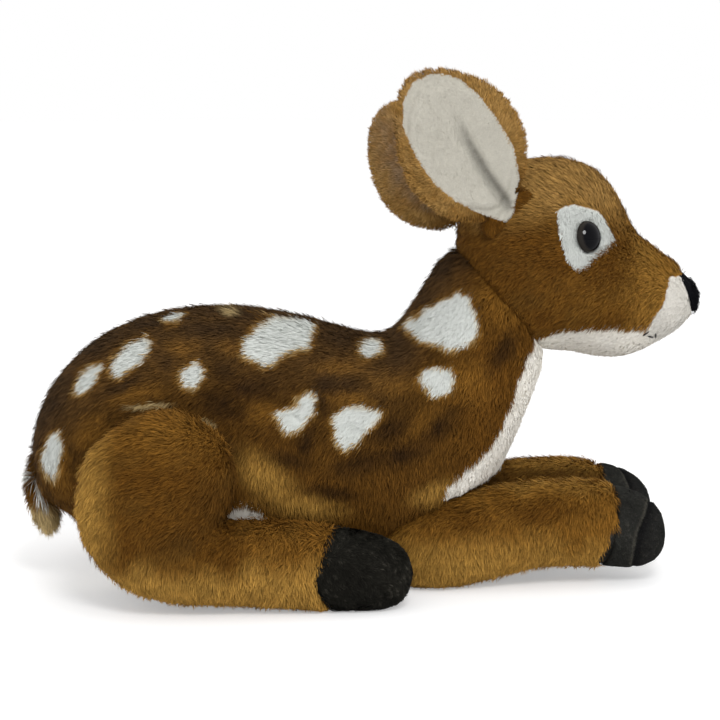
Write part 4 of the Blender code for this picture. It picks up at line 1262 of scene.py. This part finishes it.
class FAWN_OT_covers(bpy.types.Operator):
    """Make the smooth covers over the sewn panels"""

    bl_idname = "fawn.covers"
    bl_label = "Covers"

    def execute(self, context):
        look = context.scene.fawn
        tones = tones_of(look)
        ground = cover_material("woven_ground", 0.95, 0.8, 900, 0.3)
        velour = cover_material("velour", 0.9, 0.7, 1400, 0.7)
        for cover in cover_plans():
            grain = look.cover_grain * cover.grain
            piece = sewn_cover(cover.name, cover.nodes, grain, cover.passes, cover.swell)
            mesh = piece.data
            places = places_of(mesh)
            normals = directions_of(mesh)
            places = shaped(cover, look, places, normals)
            write_places(mesh, places)
            mesh.update()
            wearer = cover.wearer(places, normals)
            colours = np.zeros((len(places), 3))
            for number, coat in enumerate(cover.coats):
                chosen = wearer == number
                if coat.shaded and chosen.any():
                    colours[chosen] = coat.shaded(places[chosen], seen_at(places[chosen]), tones)
            write_colours(mesh, colours)
            mesh.materials.append(velour if cover.coats[0].slot == "black_velour" else ground)
            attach(piece, cover.body)
            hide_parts(*cover.nodes)
            cover.piece = piece
            cover.tree = tree_of(mesh)
            covers[cover.name] = cover
        return {"FINISHED"}


def grow_piles(context, wanted):
    """Grow the pile of every cover whose name a word in wanted starts."""
    if not covers:
        raise RuntimeError("Make the covers before their pile")
    look = context.scene.fawn
    tones = tones_of(look)
    if not pile_tools:
        pile_tools["random"] = np.random.default_rng(look.pile_seed)
        pile_tools["group"] = planting(strand_shape())
        brown = pile_material("brown_pile_strands", 0.66, 1.2, 0.08)
        white = pile_material("white_pile_strands", 0.96, 1.02, 0.03)
        velour = pile_material("velour_strands", 0.7, 1.3, 0.05)
        pile_tools["materials"] = {
            "brown_pile": brown, "tan_pile": brown, "white_pile": white, "black_velour": velour,
        }
        pile_tools["neighbours"] = {}
        for name, cover in covers.items():
            places = places_of(cover.piece.data)
            pile_tools["neighbours"][name] = (cover.tree, places.min(axis=0), places.max(axis=0))
    random = pile_tools["random"]
    for name, cover in covers.items():
        if not name.startswith(wanted):
            continue
        most = max(coat.density for coat in cover.coats)
        density = most * look.strands_per_mm2
        places, normals = scattered(cover.piece.data, density, random)
        others = [item for other, item in pile_tools["neighbours"].items() if other != name]
        open_air, closeness = room_above(places, normals, others, ROOM_ABOVE, PRESSED_WITHIN)
        places, normals, closeness = places[open_air], normals[open_air], closeness[open_air]
        wearer = cover.wearer(places, normals)
        chance = random.random(len(places))
        for number, coat in enumerate(cover.coats):
            if not coat.shaded:
                continue
            kept = (wearer == number) & (chance < coat.density / most)
            edges = (cad_low[0] - 1, *coat.splits, cad_high[0] + 1)
            for index, (low, high) in enumerate(zip(edges, edges[1:])):
                here = kept & (places[:, 0] >= low) & (places[:, 0] < high)
                label = f"{coat.name}_{index + 1}" if coat.splits else coat.name
                made = lay_pile(
                    label, coat, look, tones, places[here], normals[here], closeness[here], random,
                    pile_tools["group"]
                )
                made.data.materials.clear()
                made.data.materials.append(pile_tools["materials"][coat.slot])
                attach(made, cover.body)


class FAWN_OT_body_pile(bpy.types.Operator):
    """Grow the spotted pile of the body with the white chest and belly"""

    bl_idname = "fawn.body_pile"
    bl_label = "Body pile"

    def execute(self, context):
        grow_piles(context, ("body",))
        return {"FINISHED"}


class FAWN_OT_head_pile(bpy.types.Operator):
    """Grow the pile of the head, its white face and its nose"""

    bl_idname = "fawn.head_pile"
    bl_label = "Head pile"

    def execute(self, context):
        grow_piles(context, ("head", "nose"))
        return {"FINISHED"}


class FAWN_OT_ear_pile(bpy.types.Operator):
    """Grow the brown pile of the ears and the short nap of their linings"""

    bl_idname = "fawn.ear_pile"
    bl_label = "Ear pile"

    def execute(self, context):
        grow_piles(context, ("ear",))
        return {"FINISHED"}


class FAWN_OT_leg_pile(bpy.types.Operator):
    """Grow the pile of the legs and the velour of the hooves"""

    bl_idname = "fawn.leg_pile"
    bl_label = "Leg pile"

    def execute(self, context):
        grow_piles(context, ("hind", "fore"))
        return {"FINISHED"}


class FAWN_OT_tail_pile(bpy.types.Operator):
    """Grow the frayed pile of the tail"""

    bl_idname = "fawn.tail_pile"
    bl_label = "Tail pile"

    def execute(self, context):
        grow_piles(context, ("tail",))
        return {"FINISHED"}


def dome_of(places, side):
    """The middle, direction, radius and height of an eye's dome, from its CAD node."""
    middle = places.mean(axis=0)
    best = None
    for axis in np.linalg.svd(places - middle, full_matrices=False)[2]:
        axis = axis * math.copysign(1, axis[1] * side)
        along = (places - middle) @ axis
        off = np.linalg.norm(places - middle - along[:, None] * axis, axis=1)
        rim = off > off.max() * 0.98
        if axis[1] * side > 0.3 and (best is None or off[rim].std() < best[0]):
            base = along[rim].mean()
            best = (off[rim].std(), middle + axis * base, axis, float(off.max()), float(along.max() - base))
    return best[1:]


class FAWN_OT_eyes(bpy.types.Operator):
    """Turn the two glossy domed eyes"""

    bl_idname = "fawn.eyes"
    bl_label = "Eyes"

    def execute(self, context):
        segments = context.scene.fawn.eye_segments
        glinting = bpy.data.collections["glinting"]
        gloss, shader, nodes, links = new_material("eye_gloss", 0.06, 0.1)
        ring = add_node(nodes, "ShaderNodeAttribute", attribute_name="outward")
        pupil = (0.001, 0.001, 0.002)
        iris = (0.020, 0.017, 0.014)
        tint_by(nodes, links, shader, ring.outputs["Fac"], pupil, iris, 0.84, 0.93)
        for side, sign in SIDES.items():
            centre, axis, radius, height = dome_of(places_of(cad_nodes["eye_" + side].data), sign)
            height *= EYE_HEIGHT
            radius *= EYE_WIDTH
            shape = bmesh.new()
            outward = shape.verts.layers.float.new("outward")
            ring = []
            for index in range(EYE_STEPS + 1):
                angle = math.radians(90 * index / EYE_STEPS)
                ring.append(shape.verts.new((radius * math.sin(angle), 0, height * math.cos(angle))))
            ring.append(shape.verts.new((radius * 0.96, 0, -height * 0.10)))
            ring.append(shape.verts.new((0, 0, -height * 0.12)))
            for vertex in ring:
                vertex[outward] = vertex.co.x / radius
            lines = [shape.edges.new(pair) for pair in zip(ring, ring[1:])]
            bmesh.ops.spin(
                shape, geom=ring + lines, cent=(0, 0, 0), axis=(0, 0, 1), angle=math.tau, steps=segments,
                use_merge=True
            )
            bmesh.ops.remove_doubles(shape, verts=shape.verts, dist=HAIRLINE)
            bmesh.ops.recalc_face_normals(shape, faces=shape.faces)
            turn = Vector(axis).to_track_quat("Z", "Y").to_matrix().to_4x4()
            bmesh.ops.transform(shape, matrix=Matrix.Translation(centre) @ turn, verts=shape.verts)
            mesh = mesh_of(shape, "eye_dome_" + side, gloss)
            piece = new_piece(mesh.name, mesh)
            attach(piece, "head")
            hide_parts("eye_" + side)
            glinting.objects.link(piece)
        return {"FINISHED"}


class FAWN_OT_mouth(bpy.types.Operator):
    """Sew the black stitches at the corners of the mouth"""

    bl_idname = "fawn.mouth"
    bl_label = "Mouth stitches"

    def execute(self, context):
        if "head_cover" not in covers:
            raise RuntimeError("Make the covers before the stitches")
        thread = speckled_material(
            "stitch_thread", 0.7, "ShaderNodeTexWave", 700, (0.006, 0.006, 0.007), (0.030, 0.028, 0.028)
        )
        for side, sign in SIDES.items():
            shape = bmesh.new()
            for number, (x, y) in enumerate(STITCH_PLACES):
                start, way = sight_line(x, y)
                hit, normal, _, _ = covers["head_cover"].tree.ray_cast(Vector(start), Vector(way))
                made = bmesh.ops.create_uvsphere(shape, u_segments=10, v_segments=8, radius=0.5)["verts"]
                lean = Matrix.Rotation(math.radians(35 - 50 * number), 4, "Z")
                size = Matrix.Diagonal((*STITCH_SIZE, 1))
                turn = normal.to_track_quat("Z", "Y").to_matrix().to_4x4()
                place = Matrix.Translation(hit + normal * STITCH_LIFT)
                bmesh.ops.transform(shape, matrix=place @ turn @ lean @ size, verts=made)
            if sign > 0:
                bmesh.ops.scale(shape, vec=(1, -1, 1), verts=shape.verts)
                bmesh.ops.reverse_faces(shape, faces=shape.faces)
            mesh = mesh_of(shape, "mouth_stitches_" + side, thread)
            piece = new_piece(mesh.name, mesh)
            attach(piece, "head")
        return {"FINISHED"}


class FAWN_OT_washers(bpy.types.Operator):
    """Give the hidden washers behind the eyes their moulded finish"""

    bl_idname = "fawn.washers"
    bl_label = "Washers"

    def execute(self, context):
        moulded = speckled_material(
            "moulded_washer", 0.4, "ShaderNodeTexNoise", 300, (0.52, 0.52, 0.50), (0.62, 0.62, 0.60)
        )
        for side in SIDES:
            for slot in cad_nodes["eye_washer_" + side].material_slots:
                slot.material = moulded
        return {"FINISHED"}


class FAWN_OT_stage(bpy.types.Operator):
    """Set the pale floor, the lamps and the camera"""

    bl_idname = "fawn.stage"
    bl_label = "Stage"

    def execute(self, context):
        scene = context.scene
        scene.view_settings.view_transform = "Standard"
        shape = bmesh.new()
        bmesh.ops.create_circle(shape, cap_ends=True, segments=64, radius=FLOOR_RADIUS)
        paint, shader, nodes, links = new_material("floor_paint", 0.9, 0.0)
        mesh = mesh_of(shape, "floor", paint)
        floor = new_piece("floor", mesh)
        shader.inputs["Base Color"].default_value = (0.88, 0.88, 0.88, 1)
        shader.inputs["Emission Color"].default_value = (1, 1, 1, 1)
        path = nodes.new("ShaderNodeLightPath")
        glow = add_node(nodes, "ShaderNodeMath", {1: FLOOR_GLOW}, operation="MULTIPLY")
        links.new(path.outputs["Is Camera Ray"], glow.inputs[0])
        links.new(glow.outputs[0], shader.inputs["Emission Strength"])
        world = bpy.data.worlds.new("studio")
        scene.world = world
        world.use_nodes = True
        nodes = world.node_tree.nodes
        links = world.node_tree.links
        sky = nodes["Background"]
        sky.inputs["Color"].default_value = (1, 1, 1, 1)
        sky.inputs["Strength"].default_value = ROOM_LIGHT
        plain = add_node(nodes, "ShaderNodeBackground", {"Color": (1, 1, 1, 1), "Strength": 1.0})
        path = nodes.new("ShaderNodeLightPath")
        choice = nodes.new("ShaderNodeMixShader")
        shows = add_node(nodes, "ShaderNodeMath", operation="MAXIMUM")
        links.new(path.outputs["Is Camera Ray"], shows.inputs[0])
        links.new(path.outputs["Is Glossy Ray"], shows.inputs[1])
        links.new(shows.outputs[0], choice.inputs[0])
        links.new(sky.outputs[0], choice.inputs[1])
        links.new(plain.outputs[0], choice.inputs[2])
        links.new(choice.outputs[0], nodes["World Output"].inputs["Surface"])
        target = Vector(VIEW_TARGET)
        glinting = bpy.data.collections.new("glinting")
        for name, place, size, power, mirrored in LAMPS:
            light = bpy.data.lights.new(name, "AREA")
            light.shape = "DISK"
            light.size = size
            light.energy = power
            lamp = bpy.data.objects.new(name, light)
            scene.collection.objects.link(lamp)
            lamp.location = place
            lamp.rotation_euler = (target - Vector(place)).to_track_quat("-Z", "Y").to_euler()
            lamp.visible_glossy = mirrored
            if mirrored:
                lamp.visible_diffuse = False
                lamp.light_linking.receiver_collection = glinting
        lens = bpy.data.cameras.new("camera")
        lens.sensor_width = SENSOR_WIDTH
        lens.lens = SENSOR_WIDTH / (PICTURE_WIDTH * POINT / VIEW_DISTANCE)
        camera = bpy.data.objects.new("camera", lens)
        scene.collection.objects.link(camera)
        camera.location = target + Vector(VIEW_BACK) * VIEW_DISTANCE
        camera.rotation_euler = Vector(-VIEW_BACK).to_track_quat("-Z", "Y").to_euler()
        scene.camera = camera
        return {"FINISHED"}


class FAWN_PT_panel(bpy.types.Panel):
    """The fawn's sizes, colours and steps in the sidebar"""

    bl_label = "Fawn"
    bl_idname = "FAWN_PT_panel"
    bl_space_type = "VIEW_3D"
    bl_region_type = "UI"
    bl_category = "Fawn"

    def draw(self, context):
        for name in FawnLook.__annotations__:
            self.layout.prop(context.scene.fawn, name)
        for step in steps:
            self.layout.operator(step.bl_idname)


steps = (
    FAWN_OT_stage, FAWN_OT_covers, FAWN_OT_body_pile, FAWN_OT_head_pile, FAWN_OT_ear_pile, FAWN_OT_leg_pile,
    FAWN_OT_tail_pile, FAWN_OT_eyes, FAWN_OT_mouth, FAWN_OT_washers,
)
classes = (FawnLook, *steps, FAWN_PT_panel)


def register():
    for made in classes:
        bpy.utils.register_class(made)
    bpy.types.Scene.fawn = PointerProperty(type=FawnLook)


def unregister():
    del bpy.types.Scene.fawn
    for made in reversed(classes):
        bpy.utils.unregister_class(made)


def main():
    register()
    bpy.ops.fawn.stage()
    bpy.ops.fawn.covers()
    bpy.ops.fawn.body_pile()
    bpy.ops.fawn.head_pile()
    bpy.ops.fawn.ear_pile()
    bpy.ops.fawn.leg_pile()
    bpy.ops.fawn.tail_pile()
    bpy.ops.fawn.eyes()
    bpy.ops.fawn.mouth()
    bpy.ops.fawn.washers()


if __name__ == "__main__":
    main()
